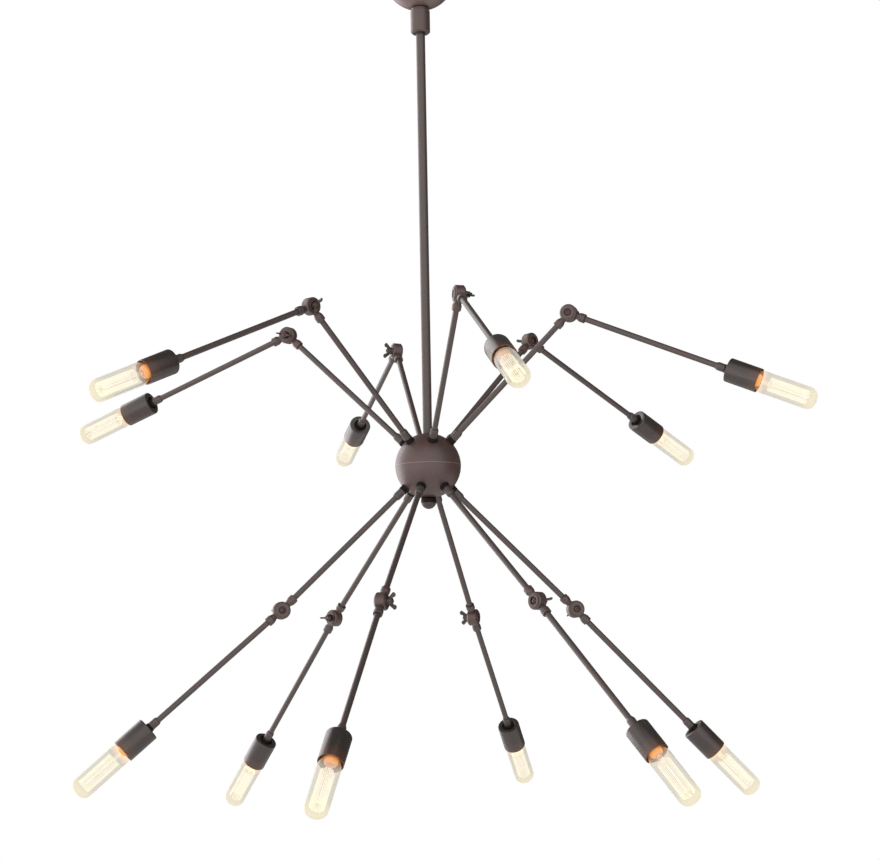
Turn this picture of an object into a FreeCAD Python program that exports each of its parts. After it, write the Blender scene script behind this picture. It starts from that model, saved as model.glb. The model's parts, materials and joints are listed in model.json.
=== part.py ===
"""Twelve-arm articulated pendant light, hung from the ceiling by a straight stem.

The frame has its origin on the ceiling, on the axis of the stem, with +Z up.
Six arms rise from a ball hub and six fall from it. Every arm has a fixed inner tube,
a swivel knuckle locked by a wing nut, and an outer tube with a lamp socket and a bulb.
Pieces that repeat are drawn once, in the frame of their own arm, and placed by links.
"""
import FreeCAD, Part
import math
import os
import Sketcher

Vector = FreeCAD.Vector
AXIS_X = Vector(1, 0, 0)
AXIS_Y = Vector(0, 1, 0)
AXIS_Z = Vector(0, 0, 1)

# Driving sizes, in millimetres and degrees
SIZES = {
    # Ceiling bracket, a hat-shaped strap with two screw slots
    "hub_drop": 722,
    "bracket_length": 88,
    "bracket_width": 20,
    "bracket_gauge": 2.5,
    "bracket_drop": 14,
    "bracket_web": 44,
    "screw_spacing": 68,
    "screw_slot_width": 4.6,
    "screw_slot_length": 10,
    # Threaded nipples at both ends of the stem, and their lock nuts
    "nipple_radius": 5,
    "nipple_bore": 3.5,
    "nipple_grip": 22,
    "nipple_tail": 2,
    "nut_flats": 15,
    "nut_height": 4,
    # Canopy, stem and the collar that holds the canopy up
    "canopy_radius": 53,
    "canopy_wall": 1.2,
    "canopy_rim": 3,
    "canopy_hole_gap": 0.4,
    "stem_radius": 6.5,
    "collar_radius": 14,
    "collar_length": 37,
    "collar_neck_radius": 12.5,
    "collar_neck_length": 4,
    "collar_chamfer": 2,
    "set_screw_radius": 2,
    # Ball hub of two half shells, and the finial that clamps them
    "hub_radius": 46,
    "hub_wall": 2,
    "hub_seam": 1,
    "hub_lip_height": 4,
    "hub_lip_wall": 1.2,
    "finial_radius": 10.5,
    "finial_neck_radius": 7.5,
    "finial_neck_length": 2.5,
    "finial_band": 4,
    "finial_dome": 8.5,
    "finial_bore": 9,
    # Inner arms
    "arm_count": 6,
    "arm_rise": 44,
    "upper_turn": -17.6,
    "lower_turn": 12.4,
    "arm_reach": 290,
    "tube_radius": 4,
    "tube_wall": 1,
    "tube_nut_flats": 12,
    "tube_nut_height": 4,
    "tube_tail": 2,
    "ferrule_wall": 1.75,
    "ferrule_length": 20,
    "ferrule_taper": 3,
    "ferrule_lip": 0.6,
    # Knuckle of two half-lap discs on a pivot bolt
    "disc_radius": 12,
    "disc_thickness": 8,
    "disc_bevel": 1.5,
    "lap_gap": 0.1,
    "ring_width": 3.3,
    "ring_height": 1,
    "recess_depth": 2,
    "recess_gap": 0.6,
    "sweep_gap": 0.4,
    "waist_radius": 4.5,
    "waist_length": 0.6,
    "flare_length": 5,
    "cuff_wall": 2.4,
    "cuff_length": 7,
    "cuff_bevel": 0.5,
    "tube_grip": 9,
    "bolt_radius": 2.5,
    "bolt_head_radius": 4,
    "bolt_head_height": 2.2,
    "bolt_tail": 1,
    # Wing nut
    "wing_base_radius": 5,
    "wing_crown_radius": 3.6,
    "wing_boss_height": 9,
    "wing_root": 2.6,
    "wing_reach": 11.5,
    "wing_height": 13.5,
    "wing_tip_radius": 3.4,
    "wing_thickness": 2.2,
    # Outer arm and lamp socket
    "outer_reach": 238.5,
    "socket_length": 45.5,
    "socket_wall": 1.3,
    "socket_edge": 1.5,
    "back_recess_radius": 8,
    "back_recess_depth": 3,
    "holder_wall": 1.6,
    "holder_boss_radius": 8,
    "holder_boss_length": 4.3,
    "holder_web": 3.4,
    "holder_depth": 21,
    "contact_radius": 4,
    "contact_height": 1.2,
    # Tubular filament bulb
    "cap_radius": 13.1,
    "cap_gauge": 0.6,
    "cap_tip": 2.8,
    "cap_tip_radius": 4.5,
    "cap_length": 19,
    "glass_wall": 1,
    "glass_grip": 2,
    "bulb_neck_length": 5.5,
    "bulb_shoulder_length": 13,
    "bulb_radius": 15,
    "bulb_length": 92,
    "bulb_tip_radius": 11,
    "mount_rod_radius": 1.8,
    "mount_flare_length": 14,
    "mount_button_radius": 3,
    "mount_button_length": 4,
    "cage_start": 26,
    "cage_length": 46,
    "cage_radius": 7.5,
    "cage_pairs": 4,
    "filament_radius": 0.35,
    "support_radius": 0.3,
    # Fits
    "thread_fit": 0.1,
    "seat_fit": 0.05,
    "pivot_fit": 0.06,
    "slide_fit": 0.1,
    "cap_fit": 0.3,
    "holder_fit": 0.2,
    "hook_fit": 0.25,
}

# Rest pose: bend of each outer arm, twist of each knuckle on its tube, turn of each wing nut.
# Half a turn of twist puts the wing nut on the other side of the arm.
UPPER_POSE = [(67.5, -1, 25), (69, -3, 70), (63.5, 4, 120), (64, -5, 35), (68, -4, 100), (71.5, -1, 60)]
LOWER_POSE = [(1, 0, 80), (-2.5, 0, 20), (3, 0, 140), (3, 180, 45), (2, 0, 65), (1, 0, 110)]

doc = FreeCAD.newDocument("pendant_light")
sheet = doc.addObject("Spreadsheet::Sheet", "dim")
for row, (alias, number) in enumerate(SIZES.items(), 1):
    sheet.set("A%d" % row, alias)
    sheet.set("B%d" % row, str(number))
    sheet.setAlias("B%d" % row, alias)
doc.recompute()


def value(text):
    """The present value of an expression over the sheet."""
    return float(sheet.evalExpression(text))


# Sketches and features

def sketch_on(body, name, role):
    """An empty sketch on one of the body's own origin planes."""
    plane = next(item for item in body.Origin.OriginFeatures if item.Role == role)
    sketch = body.newObject("Sketcher::SketchObject", name)
    sketch.AttachmentSupport = [(plane, "")]
    sketch.MapMode = "FlatFace"
    return sketch


def bind(sketch, kind, edge, end, text):
    """Fix one coordinate of a sketch point to an expression over the sheet."""
    index = sketch.addConstraint(Sketcher.Constraint(kind, edge, end, value(text)))
    sketch.setExpression("Constraints[%d]" % index, text)


def outline(body, name, role, corners):
    """A closed sketch through corners given as pairs of expressions.

    A corner with three more values is reached by an arc: the two coordinates of its centre,
    and +1 for an arc that turns anticlockwise or -1 for one that turns clockwise.
    """
    sketch = sketch_on(body, name, role)
    places = [Vector(value(corner[0]), value(corner[1])) for corner in corners]
    count = len(corners)
    starts, ends = [], []
    for index in range(count):
        here, there = places[index], places[(index + 1) % count]
        target = corners[(index + 1) % count]
        first, last = 1, 2
        if len(target) == 2:
            sketch.addGeometry(Part.LineSegment(here, there), False)
        else:
            centre = Vector(value(target[2]), value(target[3]))
            if target[4] < 0:
                first, last = 2, 1
            begin, finish = (here, there) if target[4] > 0 else (there, here)
            angles = [math.atan2(point.y - centre.y, point.x - centre.x) for point in (begin, finish)]
            circle = Part.Circle(centre, AXIS_Z, (here - centre).Length)
            sketch.addGeometry(Part.ArcOfCircle(circle, *angles), False)
            upright = abs(there.y - here.y) > abs(there.x - here.x)
            kind, text = ("DistanceX", target[2]) if upright else ("DistanceY", target[3])
            bind(sketch, kind, index, 3, text)
        starts.append(first)
        ends.append(last)
    for index in range(count):
        follow = (index + 1) % count
        sketch.addConstraint(Sketcher.Constraint("Coincident", index, ends[index], follow, starts[follow]))
        bind(sketch, "DistanceX", index, starts[index], corners[index][0])
        bind(sketch, "DistanceY", index, starts[index], corners[index][1])
    return sketch


def spin(body, kind, name, role, axis, corners):
    """A Revolution or Groove of a closed outline about an axis of its sketch."""
    sketch = outline(body, name + "_sketch", role, corners)
    feature = body.newObject("PartDesign::" + kind, name)
    feature.Profile = sketch
    feature.ReferenceAxis = (sketch, [axis])
    feature.Angle = 360
    return feature


def spin_about_line(body, kind, name, sketch, start, end):
    """A Revolution or Groove of a sketch about a construction line drawn in it."""
    line = Part.LineSegment(Vector(value(start[0]), value(start[1])), Vector(value(end[0]), value(end[1])))
    edge = sketch.addGeometry(line, True)
    for point, place in ((1, start), (2, end)):
        bind(sketch, "DistanceX", edge, point, place[0])
        bind(sketch, "DistanceY", edge, point, place[1])
    doc.recompute()
    feature = body.newObject("PartDesign::" + kind, name)
    feature.Profile = sketch
    feature.ReferenceAxis = (sketch, ["Axis0"])
    feature.Angle = 360
    return feature


def new_body(name):
    return doc.addObject("PartDesign::Body", name)


def turned(name, role, axis, corners):
    """A body turned from one outline."""
    body = new_body(name)
    spin(body, "Revolution", name + "_turning", role, axis, corners)
    return body


def turned_about_stem(name, corners):
    """A body turned about Z from corners of radius and height."""
    return turned(name, "XZ_Plane", "V_Axis", corners)


def turned_about_arm(name, corners):
    """A body turned about X from corners of length along the arm and radius."""
    return turned(name, "XZ_Plane", "H_Axis", corners)


def pattern(body, feature, name, axis_role, count):
    """Copies of one feature evenly around an origin axis of its body."""
    doc.recompute()
    ring = body.newObject("PartDesign::PolarPattern", name)
    ring.Originals = [feature]
    ring.Axis = (next(item for item in body.Origin.OriginFeatures if item.Role == axis_role), [""])
    ring.Angle = 360
    ring.setExpression("Occurrences", count)
    body.Tip = ring
    return ring


def through_cut(body, name, sketch):
    """A pocket right through the body, both ways from its sketch."""
    doc.recompute()
    pocket = body.newObject("PartDesign::Pocket", name)
    pocket.Profile = sketch
    pocket.Type = "ThroughAll"
    pocket.SideType = "Symmetric"
    return pocket


def slab(body, name, sketch, thickness):
    """A pad of the given thickness, half on each side of its sketch."""
    pad = body.newObject("PartDesign::Pad", name)
    pad.Profile = sketch
    pad.SideType = "Symmetric"
    pad.setExpression("Length", thickness)
    return pad


# Placing

def turn(axis, angle):
    return FreeCAD.Placement(Vector(0, 0, 0), FreeCAD.Rotation(axis, angle))


def shift(x, y, z):
    return FreeCAD.Placement(Vector(x, y, z), FreeCAD.Rotation())


def link(master, name, placement):
    """One more copy of a master piece, at a place of its own."""
    copy = doc.addObject("App::Link", name)
    copy.LinkedObject = master
    copy.Placement = placement
    return copy


def group(name, pieces):
    """Separate solids that share one node."""
    bundle = doc.addObject("Part::Compound", name)
    bundle.Links = pieces
    return bundle


# Derived sizes, as expressions over the sheet

NIPPLE_HOLE = "(dim.nipple_radius + dim.thread_fit)"
TUBE_HOLE = "(dim.tube_radius + dim.thread_fit)"
STEM_TOP = "(dim.bracket_drop + dim.bracket_gauge + dim.nut_height)"
HUB_INSIDE = "(dim.hub_radius - dim.hub_wall)"
HUB_SEAT = "sqrt(dim.hub_radius^2 - %s^2)" % NIPPLE_HOLE
STEM_SEAT = "(%s + dim.seat_fit)" % HUB_SEAT
CANOPY_HOLE = "(dim.stem_radius + dim.canopy_hole_gap)"
CANOPY_FOOT = "(dim.canopy_rim + sqrt(dim.canopy_radius^2 - %s^2))" % CANOPY_HOLE
NUT_CORNER = "(dim.nut_flats / sqrt(3))"
TUBE_NUT_CORNER = "(dim.tube_nut_flats / sqrt(3))"
NUT_SEAT = "(sqrt(%s^2 - %s^2) - dim.seat_fit)" % (HUB_INSIDE, NUT_CORNER)
TUBE_NUT_SEAT = "(sqrt(%s^2 - %s^2) - dim.seat_fit)" % (HUB_INSIDE, TUBE_NUT_CORNER)
FERRULE_SEAT = "(sqrt(dim.hub_radius^2 - %s^2) + dim.seat_fit)" % TUBE_HOLE
FERRULE_RADIUS = "(dim.tube_radius + dim.ferrule_wall)"
LAP = "(dim.lap_gap / 2)"
BOLT_HOLE = "(dim.bolt_radius + dim.pivot_fit)"
RECESS_RADIUS = "(dim.wing_base_radius + dim.recess_gap)"
RING_RADIUS = "(%s + dim.ring_width)" % RECESS_RADIUS
DISC_FACE = "(dim.disc_thickness - dim.ring_height)"
DISC_FLOOR = "(dim.disc_thickness - dim.recess_depth)"
SWEEP_RADIUS = "(dim.disc_radius + dim.sweep_gap)"
FLARE_START = "(%s + dim.waist_length)" % SWEEP_RADIUS
FLARE_END = "(%s + dim.flare_length)" % FLARE_START
CUFF_END = "(%s + dim.cuff_length)" % FLARE_END
CUFF_RADIUS = "(dim.tube_radius + dim.cuff_wall)"
TUBE_START = "(%s - dim.tube_grip)" % CUFF_END
SOCKET_FLOOR = "(dim.outer_reach + dim.back_recess_depth)"
SOCKET_INSIDE = "(%s + dim.socket_wall)" % SOCKET_FLOOR
TUBE_END = "(%s + dim.holder_boss_length - dim.cap_fit)" % SOCKET_INSIDE
HOLDER_FLOOR = "(%s + dim.holder_boss_length + dim.holder_web)" % SOCKET_INSIDE
HOLDER_BORE = "(dim.cap_radius + dim.cap_fit)"
HOLDER_RADIUS = "(%s + dim.holder_wall)" % HOLDER_BORE
SLEEVE_BORE = "(%s + dim.holder_fit)" % HOLDER_RADIUS
SOCKET_RADIUS = "(%s + dim.socket_wall)" % SLEEVE_BORE
SOCKET_MOUTH = "(dim.outer_reach + dim.socket_length)"
CAP_FOOT = "(%s + dim.contact_height + dim.seat_fit)" % HOLDER_FLOOR
CAP_START = "(%s + dim.cap_tip)" % CAP_FOOT
CAP_END = "(%s + dim.cap_length)" % CAP_START
CAP_BORE = "(dim.cap_radius - dim.cap_gauge)"
NECK_RADIUS = "(%s - dim.thread_fit)" % CAP_BORE
NECK_INSIDE = "(%s - dim.glass_wall)" % NECK_RADIUS
GLASS_START = "(%s - dim.glass_grip)" % CAP_END
SHOULDER_START = "(%s + dim.bulb_neck_length)" % CAP_END
SHOULDER_END = "(%s + dim.bulb_shoulder_length)" % SHOULDER_START
GLASS_END = "(%s + dim.bulb_length)" % CAP_END
TIP_CENTRE = "(%s - dim.bulb_tip_radius)" % GLASS_END
TIP_FLAT = "(dim.bulb_radius - dim.bulb_tip_radius)"
CAGE_START = "(%s + dim.cage_start)" % CAP_END
CAGE_END = "(%s + dim.cage_length)" % CAGE_START
LOOP_RADIUS = "(dim.cage_radius * sin(90 / dim.cage_pairs))"
HOOK_DEPTH = "(dim.filament_radius + dim.support_radius + dim.hook_fit)"
HOOK_PLACE = "(%s + %s - %s)" % (CAGE_END, LOOP_RADIUS, HOOK_DEPTH)
HOOK_REACH = "(dim.cage_radius + 2 * dim.filament_radius)"
MOUNT_RADIUS = "(%s - dim.holder_fit)" % NECK_INSIDE
MOUNT_END = "(%s + dim.support_radius + dim.mount_button_length / 2)" % HOOK_PLACE


# Ceiling pieces

def ceiling_bracket():
    """Strap bent like a hat: two feet on the ceiling and a lowered web for the nipple."""
    body = new_body("ceiling_bracket")
    half, web = "dim.bracket_length / 2", "dim.bracket_web / 2"
    riser = "(dim.bracket_web / 2 + dim.bracket_gauge)"
    sole, deck = "-dim.bracket_gauge", "-dim.bracket_drop"
    low = "-(dim.bracket_drop + dim.bracket_gauge)"
    side = outline(body, "strap_sketch", "XZ_Plane", [
        (half, "0"), (web, "0"), (web, deck), ("-" + web, deck), ("-" + web, "0"), ("-" + half, "0"),
        ("-" + half, sole), ("-" + riser, sole), ("-" + riser, low),
        (riser, low), (riser, sole), (half, sole)])
    slab(body, "strap", side, "dim.bracket_width")
    radius = "dim.screw_slot_width / 2"
    run = "(dim.screw_slot_length - dim.screw_slot_width) / 2"
    for name, centre in (("right", "dim.screw_spacing / 2"), ("left", "-dim.screw_spacing / 2")):
        far, near = "(%s + %s)" % (centre, run), "(%s - %s)" % (centre, run)
        slot = outline(body, name + "_slot_sketch", "XY_Plane", [
            (near, "-" + radius, near, "0", 1), (far, "-" + radius),
            (far, radius, far, "0", 1), (near, radius)])
        through_cut(body, name + "_slot", slot)
    hole = sketch_on(body, "nipple_hole_sketch", "XY_Plane")
    hole.addGeometry(Part.Circle(Vector(0, 0, 0), AXIS_Z, value(NIPPLE_HOLE)), False)
    hole.addConstraint(Sketcher.Constraint("Coincident", 0, 3, -1, 1))
    index = hole.addConstraint(Sketcher.Constraint("Radius", 0, value(NIPPLE_HOLE)))
    hole.setExpression("Constraints[%d]" % index, NIPPLE_HOLE)
    through_cut(body, "nipple_hole", hole)
    return body


def nipple(name, low, high):
    """Hollow threaded nipple between two heights."""
    return turned_about_stem(name, [
        ("dim.nipple_bore", low), ("dim.nipple_radius", low),
        ("dim.nipple_radius", high), ("dim.nipple_bore", high)])


def stem_nipples():
    """The nipple that hangs the stem from the bracket, and the one that runs through the hub."""
    top = nipple("top_nipple", "-(%s + dim.nipple_grip)" % STEM_TOP,
                 "-(dim.bracket_drop - dim.nut_height - dim.nipple_tail)")
    through = nipple("hub_nipple", "-(dim.hub_drop + %s + dim.finial_bore - dim.seat_fit)" % STEM_SEAT,
                     "-(dim.hub_drop - %s - dim.nipple_grip)" % STEM_SEAT)
    return group("stem_nipples", [top, through])


def stem_tube():
    top, low = "-" + STEM_TOP, "-(dim.hub_drop - %s)" % STEM_SEAT
    return turned_about_stem("stem_tube", [
        (NIPPLE_HOLE, low), ("dim.stem_radius", low), ("dim.stem_radius", top), (NIPPLE_HOLE, top)])


def canopy():
    """Half-ball cover with a short straight rim against the ceiling."""
    inside, rim = "(dim.canopy_radius - dim.canopy_wall)", "-dim.canopy_rim"
    inner_foot = "-(dim.canopy_rim + sqrt(%s^2 - %s^2))" % (inside, CANOPY_HOLE)
    return turned_about_stem("canopy", [
        ("dim.canopy_radius", "0"), (inside, "0"), (inside, rim), (CANOPY_HOLE, inner_foot, "0", rim, -1),
        (CANOPY_HOLE, "-" + CANOPY_FOOT), ("dim.canopy_radius", rim, "0", rim, 1)])


def canopy_collar():
    """Collar under the canopy, with a set screw at its back that grips the stem."""
    bore, top = "(dim.stem_radius + dim.slide_fit)", "(%s + dim.seat_fit)" % CANOPY_FOOT
    step = "-(%s + dim.collar_neck_length)" % top
    bevel = "-(%s + dim.collar_length - dim.collar_chamfer)" % top
    low = "-(%s + dim.collar_length)" % top
    middle = "-(%s + dim.collar_length / 2)" % top
    ring = turned_about_stem("collar_ring", [
        (bore, "-" + top), (bore, low), ("(dim.collar_radius - dim.collar_chamfer)", low),
        ("dim.collar_radius", bevel), ("dim.collar_radius", step), ("dim.collar_neck_radius", step),
        ("dim.collar_neck_radius", "-" + top)])
    hole = outline(ring, "screw_hole_sketch", "YZ_Plane", [
        ("0", middle), ("2 * dim.collar_radius", middle),
        ("2 * dim.collar_radius", "%s + dim.set_screw_radius + dim.thread_fit" % middle),
        ("0", "%s + dim.set_screw_radius + dim.thread_fit" % middle)])
    spin_about_line(ring, "Groove", "screw_hole", hole, ("0", middle), ("dim.collar_radius", middle))
    screw = doc.addObject("Part::Cylinder", "set_screw")
    screw.setExpression("Radius", "dim.set_screw_radius")
    screw.setExpression("Height", "dim.collar_radius - dim.collar_chamfer / 2 - %s" % bore)
    screw.Placement.Rotation = FreeCAD.Rotation(AXIS_X, -90)
    screw.setExpression("Placement.Base.y", bore)
    screw.setExpression("Placement.Base.z", middle)
    return group("canopy_collar", [ring, screw])


# Ball hub

def arm_holes(body, rise):
    """Six holes for the tubes of one ring of arms, square to the ball."""
    along, across = ("cos(%s)" % rise, "sin(%s)" % rise), ("-sin(%s)" % rise, "cos(%s)" % rise)
    near, far = "%s / 2" % HUB_INSIDE, "2 * dim.hub_radius"

    def place(distance, offset):
        return tuple("%s * %s + %s * %s" % (distance, along[i], offset, across[i]) for i in (0, 1))

    sketch = outline(body, "arm_hole_sketch", "XZ_Plane",
                     [place(near, "0"), place(far, "0"), place(far, TUBE_HOLE), place(near, TUBE_HOLE)])
    hole = spin_about_line(body, "Groove", "arm_hole", sketch, ("0", "0"), place("dim.hub_radius", "0"))
    pattern(body, hole, "arm_holes", "Z_Axis", "dim.arm_count")


def hub_upper_shell():
    """Upper half of the ball, with a hole for the nipple at its pole."""
    seam = "dim.hub_seam / 2"
    body = turned_about_stem("hub_upper_shell", [
        ("sqrt(dim.hub_radius^2 - (%s)^2)" % seam, seam), (NIPPLE_HOLE, HUB_SEAT, "0", "0", 1),
        (NIPPLE_HOLE, "sqrt(%s^2 - %s^2)" % (HUB_INSIDE, NIPPLE_HOLE)),
        ("sqrt(%s^2 - (%s)^2)" % (HUB_INSIDE, seam), seam, "0", "0", -1)])
    arm_holes(body, "dim.arm_rise")
    return body


def hub_lower_shell():
    """Lower half of the ball, with a lip that centres the upper half."""
    seam = "-dim.hub_seam / 2"
    lip = "(sqrt(%s^2 - dim.hub_lip_height^2) - dim.thread_fit)" % HUB_INSIDE
    lip_inside = "(%s - dim.hub_lip_wall)" % lip
    body = turned_about_stem("hub_lower_shell", [
        (NIPPLE_HOLE, "-" + HUB_SEAT), ("sqrt(dim.hub_radius^2 - (%s)^2)" % seam, seam, "0", "0", 1),
        (lip, seam), (lip, "dim.hub_lip_height"), (lip_inside, "dim.hub_lip_height"),
        (lip_inside, "-sqrt(%s^2 - %s^2)" % (HUB_INSIDE, lip_inside)),
        (NIPPLE_HOLE, "-sqrt(%s^2 - %s^2)" % (HUB_INSIDE, NIPPLE_HOLE), "0", "0", -1)])
    arm_holes(body, "-dim.arm_rise")
    return body


def finial():
    """Round-bottomed nut under the ball, screwed on the end of the hub nipple."""
    step = "-(%s + dim.finial_neck_length)" % STEM_SEAT
    band = "-(%s + dim.finial_neck_length + dim.finial_band)" % STEM_SEAT
    bottom = "(%s - dim.finial_dome)" % band
    ball = "((dim.finial_radius^2 + dim.finial_dome^2) / (2 * dim.finial_dome))"
    floor = "-(%s + dim.finial_bore)" % STEM_SEAT
    return turned_about_stem("finial", [
        (NIPPLE_HOLE, "-" + STEM_SEAT), (NIPPLE_HOLE, floor), ("0", floor), ("0", bottom),
        ("dim.finial_radius", band, "0", "%s + %s" % (bottom, ball), 1), ("dim.finial_radius", step),
        ("dim.finial_neck_radius", step), ("dim.finial_neck_radius", "-" + STEM_SEAT)])


def hex_nut(name, corner, height, bore):
    """Six-sided lock nut on the Z axis."""
    prism = doc.addObject("Part::Prism", name + "_hexagon")
    prism.Polygon = 6
    prism.setExpression("Circumradius", corner)
    prism.setExpression("Height", height)
    hole = doc.addObject("Part::Cylinder", name + "_hole")
    hole.setExpression("Radius", bore)
    hole.setExpression("Height", height)
    nut = doc.addObject("Part::Cut", name)
    nut.Base = prism
    nut.Tool = hole
    return nut


# Pieces of one arm, drawn along X

def inner_tube():
    """From the lock nut inside the ball to the inner half of the knuckle."""
    start = "(%s - dim.tube_nut_height - dim.tube_tail)" % TUBE_NUT_SEAT
    end, bore = "(dim.arm_reach - %s)" % TUBE_START, "(dim.tube_radius - dim.tube_wall)"
    return turned_about_arm("inner_tube", [
        (start, bore), (end, bore), (end, "dim.tube_radius"), (start, "dim.tube_radius")])


def outer_tube():
    """From the outer half of the knuckle, at the origin, to the lamp holder."""
    bore = "(dim.tube_radius - dim.tube_wall)"
    return turned_about_arm("outer_tube", [
        (TUBE_START, bore), (TUBE_END, bore), (TUBE_END, "dim.tube_radius"), (TUBE_START, "dim.tube_radius")])


def ferrule():
    """Sleeve over a tube's end, tapered where the tube comes out."""
    return turned_about_arm("ferrule", [
        ("0", TUBE_HOLE), ("dim.ferrule_length", TUBE_HOLE),
        ("dim.ferrule_length", "(%s + dim.ferrule_lip)" % TUBE_HOLE),
        ("(dim.ferrule_length - dim.ferrule_taper)", FERRULE_RADIUS), ("0", FERRULE_RADIUS)])


def knuckle_half():
    """Half-lap swivel casting: a disc on the +Y side of the pivot and a flared cuff along +X.

    The same casting serves both halves of a knuckle, turned half a turn about Z for the inner one.
    """
    body = turned("knuckle_half", "XY_Plane", "V_Axis", [
        (BOLT_HOLE, LAP), ("dim.disc_radius", LAP), ("dim.disc_radius", "(%s - dim.disc_bevel)" % DISC_FACE),
        ("(dim.disc_radius - dim.disc_bevel)", DISC_FACE), (RING_RADIUS, DISC_FACE),
        (RING_RADIUS, "dim.disc_thickness"), (RECESS_RADIUS, "dim.disc_thickness"),
        (RECESS_RADIUS, DISC_FLOOR), (BOLT_HOLE, DISC_FLOOR)])
    root = "dim.disc_radius / 2"
    spin(body, "Revolution", "cuff", "XZ_Plane", "H_Axis", [
        (root, "0"), (CUFF_END, "0"), (CUFF_END, "(%s - dim.cuff_bevel)" % CUFF_RADIUS),
        ("(%s - dim.cuff_bevel)" % CUFF_END, CUFF_RADIUS), (FLARE_END, CUFF_RADIUS),
        (FLARE_START, "dim.waist_radius"), (root, "dim.waist_radius")])
    doc.recompute()
    spin(body, "Groove", "lap", "XY_Plane", "V_Axis", [
        ("0", LAP), ("0", "-2 * dim.disc_thickness"),
        (SWEEP_RADIUS, "-2 * dim.disc_thickness"), (SWEEP_RADIUS, LAP)])
    doc.recompute()
    spin(body, "Groove", "tube_bore", "XZ_Plane", "H_Axis", [
        (TUBE_START, "0"), ("2 * " + CUFF_END, "0"), ("2 * " + CUFF_END, TUBE_HOLE), (TUBE_START, TUBE_HOLE)])
    return body


def pivot_bolt():
    """Bolt along Y: a domed head in the inner half's recess and an end that shows past the wing nut."""
    end = "(%s + dim.wing_boss_height + dim.bolt_tail)" % DISC_FLOOR
    crown = "-(%s + dim.bolt_head_height)" % DISC_FLOOR
    ball = "((dim.bolt_head_radius^2 + dim.bolt_head_height^2) / (2 * dim.bolt_head_height))"
    return turned("pivot_bolt", "XY_Plane", "V_Axis", [
        ("0", crown), ("dim.bolt_head_radius", "-" + DISC_FLOOR, "0", "%s + %s" % (crown, ball), 1),
        ("dim.bolt_radius", "-" + DISC_FLOOR), ("dim.bolt_radius", end), ("0", end)])


def wing_nut():
    """Tapered boss in the outer half's recess, with two flared wings and a bore for the bolt."""
    top = "(%s + dim.wing_boss_height)" % DISC_FLOOR
    tip = "(%s + dim.wing_height)" % DISC_FLOOR
    root = "(%s + dim.wing_root)" % DISC_FLOOR
    body = turned("wing_nut", "XY_Plane", "V_Axis", [
        (BOLT_HOLE, DISC_FLOOR), ("dim.wing_base_radius", DISC_FLOOR),
        ("dim.wing_crown_radius", top), (BOLT_HOLE, top)])
    inner, outer = "(dim.wing_reach - dim.wing_tip_radius)", "dim.wing_reach"
    side = "(%s - dim.wing_tip_radius)" % tip
    wings = outline(body, "wings_sketch", "XY_Plane", [
        ("dim.wing_crown_radius", root), (outer, side), (inner, tip, inner, side, 1),
        ("dim.bolt_radius", top), ("-dim.bolt_radius", top), ("-" + inner, tip),
        ("-" + outer, side, "-" + inner, side, 1), ("-dim.wing_crown_radius", root)])
    slab(body, "wings", wings, "dim.wing_thickness")
    doc.recompute()
    spin(body, "Groove", "bolt_bore", "XY_Plane", "V_Axis", [
        ("0", "0"), (BOLT_HOLE, "0"), (BOLT_HOLE, "2 * " + tip), ("0", "2 * " + tip)])
    return body


def socket_cup():
    """Spun sleeve with a rounded back edge and a round recess where the ferrule enters."""
    back, edge = "dim.outer_reach", "(dim.outer_reach + dim.socket_edge)"
    plate = "(dim.outer_reach + dim.socket_wall)"
    shoulder = "(%s - dim.socket_edge)" % SOCKET_RADIUS
    well = "(dim.back_recess_radius + dim.socket_wall)"
    return turned_about_arm("socket_cup", [
        (SOCKET_FLOOR, TUBE_HOLE), (SOCKET_FLOOR, "dim.back_recess_radius"), (back, "dim.back_recess_radius"),
        (back, shoulder), (edge, SOCKET_RADIUS, edge, shoulder, -1), (SOCKET_MOUTH, SOCKET_RADIUS),
        (SOCKET_MOUTH, SLEEVE_BORE), (plate, SLEEVE_BORE), (plate, well), (SOCKET_INSIDE, well),
        (SOCKET_INSIDE, TUBE_HOLE)])


def lamp_holder():
    """Insulating holder inside the cup, open towards the bulb's cap."""
    seat, rim = "(%s + dim.holder_boss_length)" % SOCKET_INSIDE, "(%s + dim.holder_depth)" % HOLDER_FLOOR
    return turned_about_arm("lamp_holder", [
        (SOCKET_INSIDE, TUBE_HOLE), (SOCKET_INSIDE, "dim.holder_boss_radius"),
        (seat, "dim.holder_boss_radius"), (seat, HOLDER_RADIUS), (rim, HOLDER_RADIUS), (rim, HOLDER_BORE),
        (HOLDER_FLOOR, HOLDER_BORE), (HOLDER_FLOOR, "0"), (seat, "0"), (seat, TUBE_HOLE)])


def holder_contact():
    """Centre contact on the holder's floor."""
    top = "(%s + dim.contact_height)" % HOLDER_FLOOR
    return turned_about_arm("holder_contact", [
        (HOLDER_FLOOR, "0"), (top, "0"), (top, "dim.contact_radius"), (HOLDER_FLOOR, "dim.contact_radius")])


def bulb_cap():
    """Metal screw cap with its foot contact."""
    inside = "(%s + dim.cap_gauge)" % CAP_START
    return turned_about_arm("bulb_cap", [
        (CAP_FOOT, "0"), (CAP_FOOT, "dim.cap_tip_radius"), (CAP_START, "dim.cap_radius"),
        (CAP_END, "dim.cap_radius"), (CAP_END, CAP_BORE), (inside, CAP_BORE), (inside, "0")])


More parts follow.
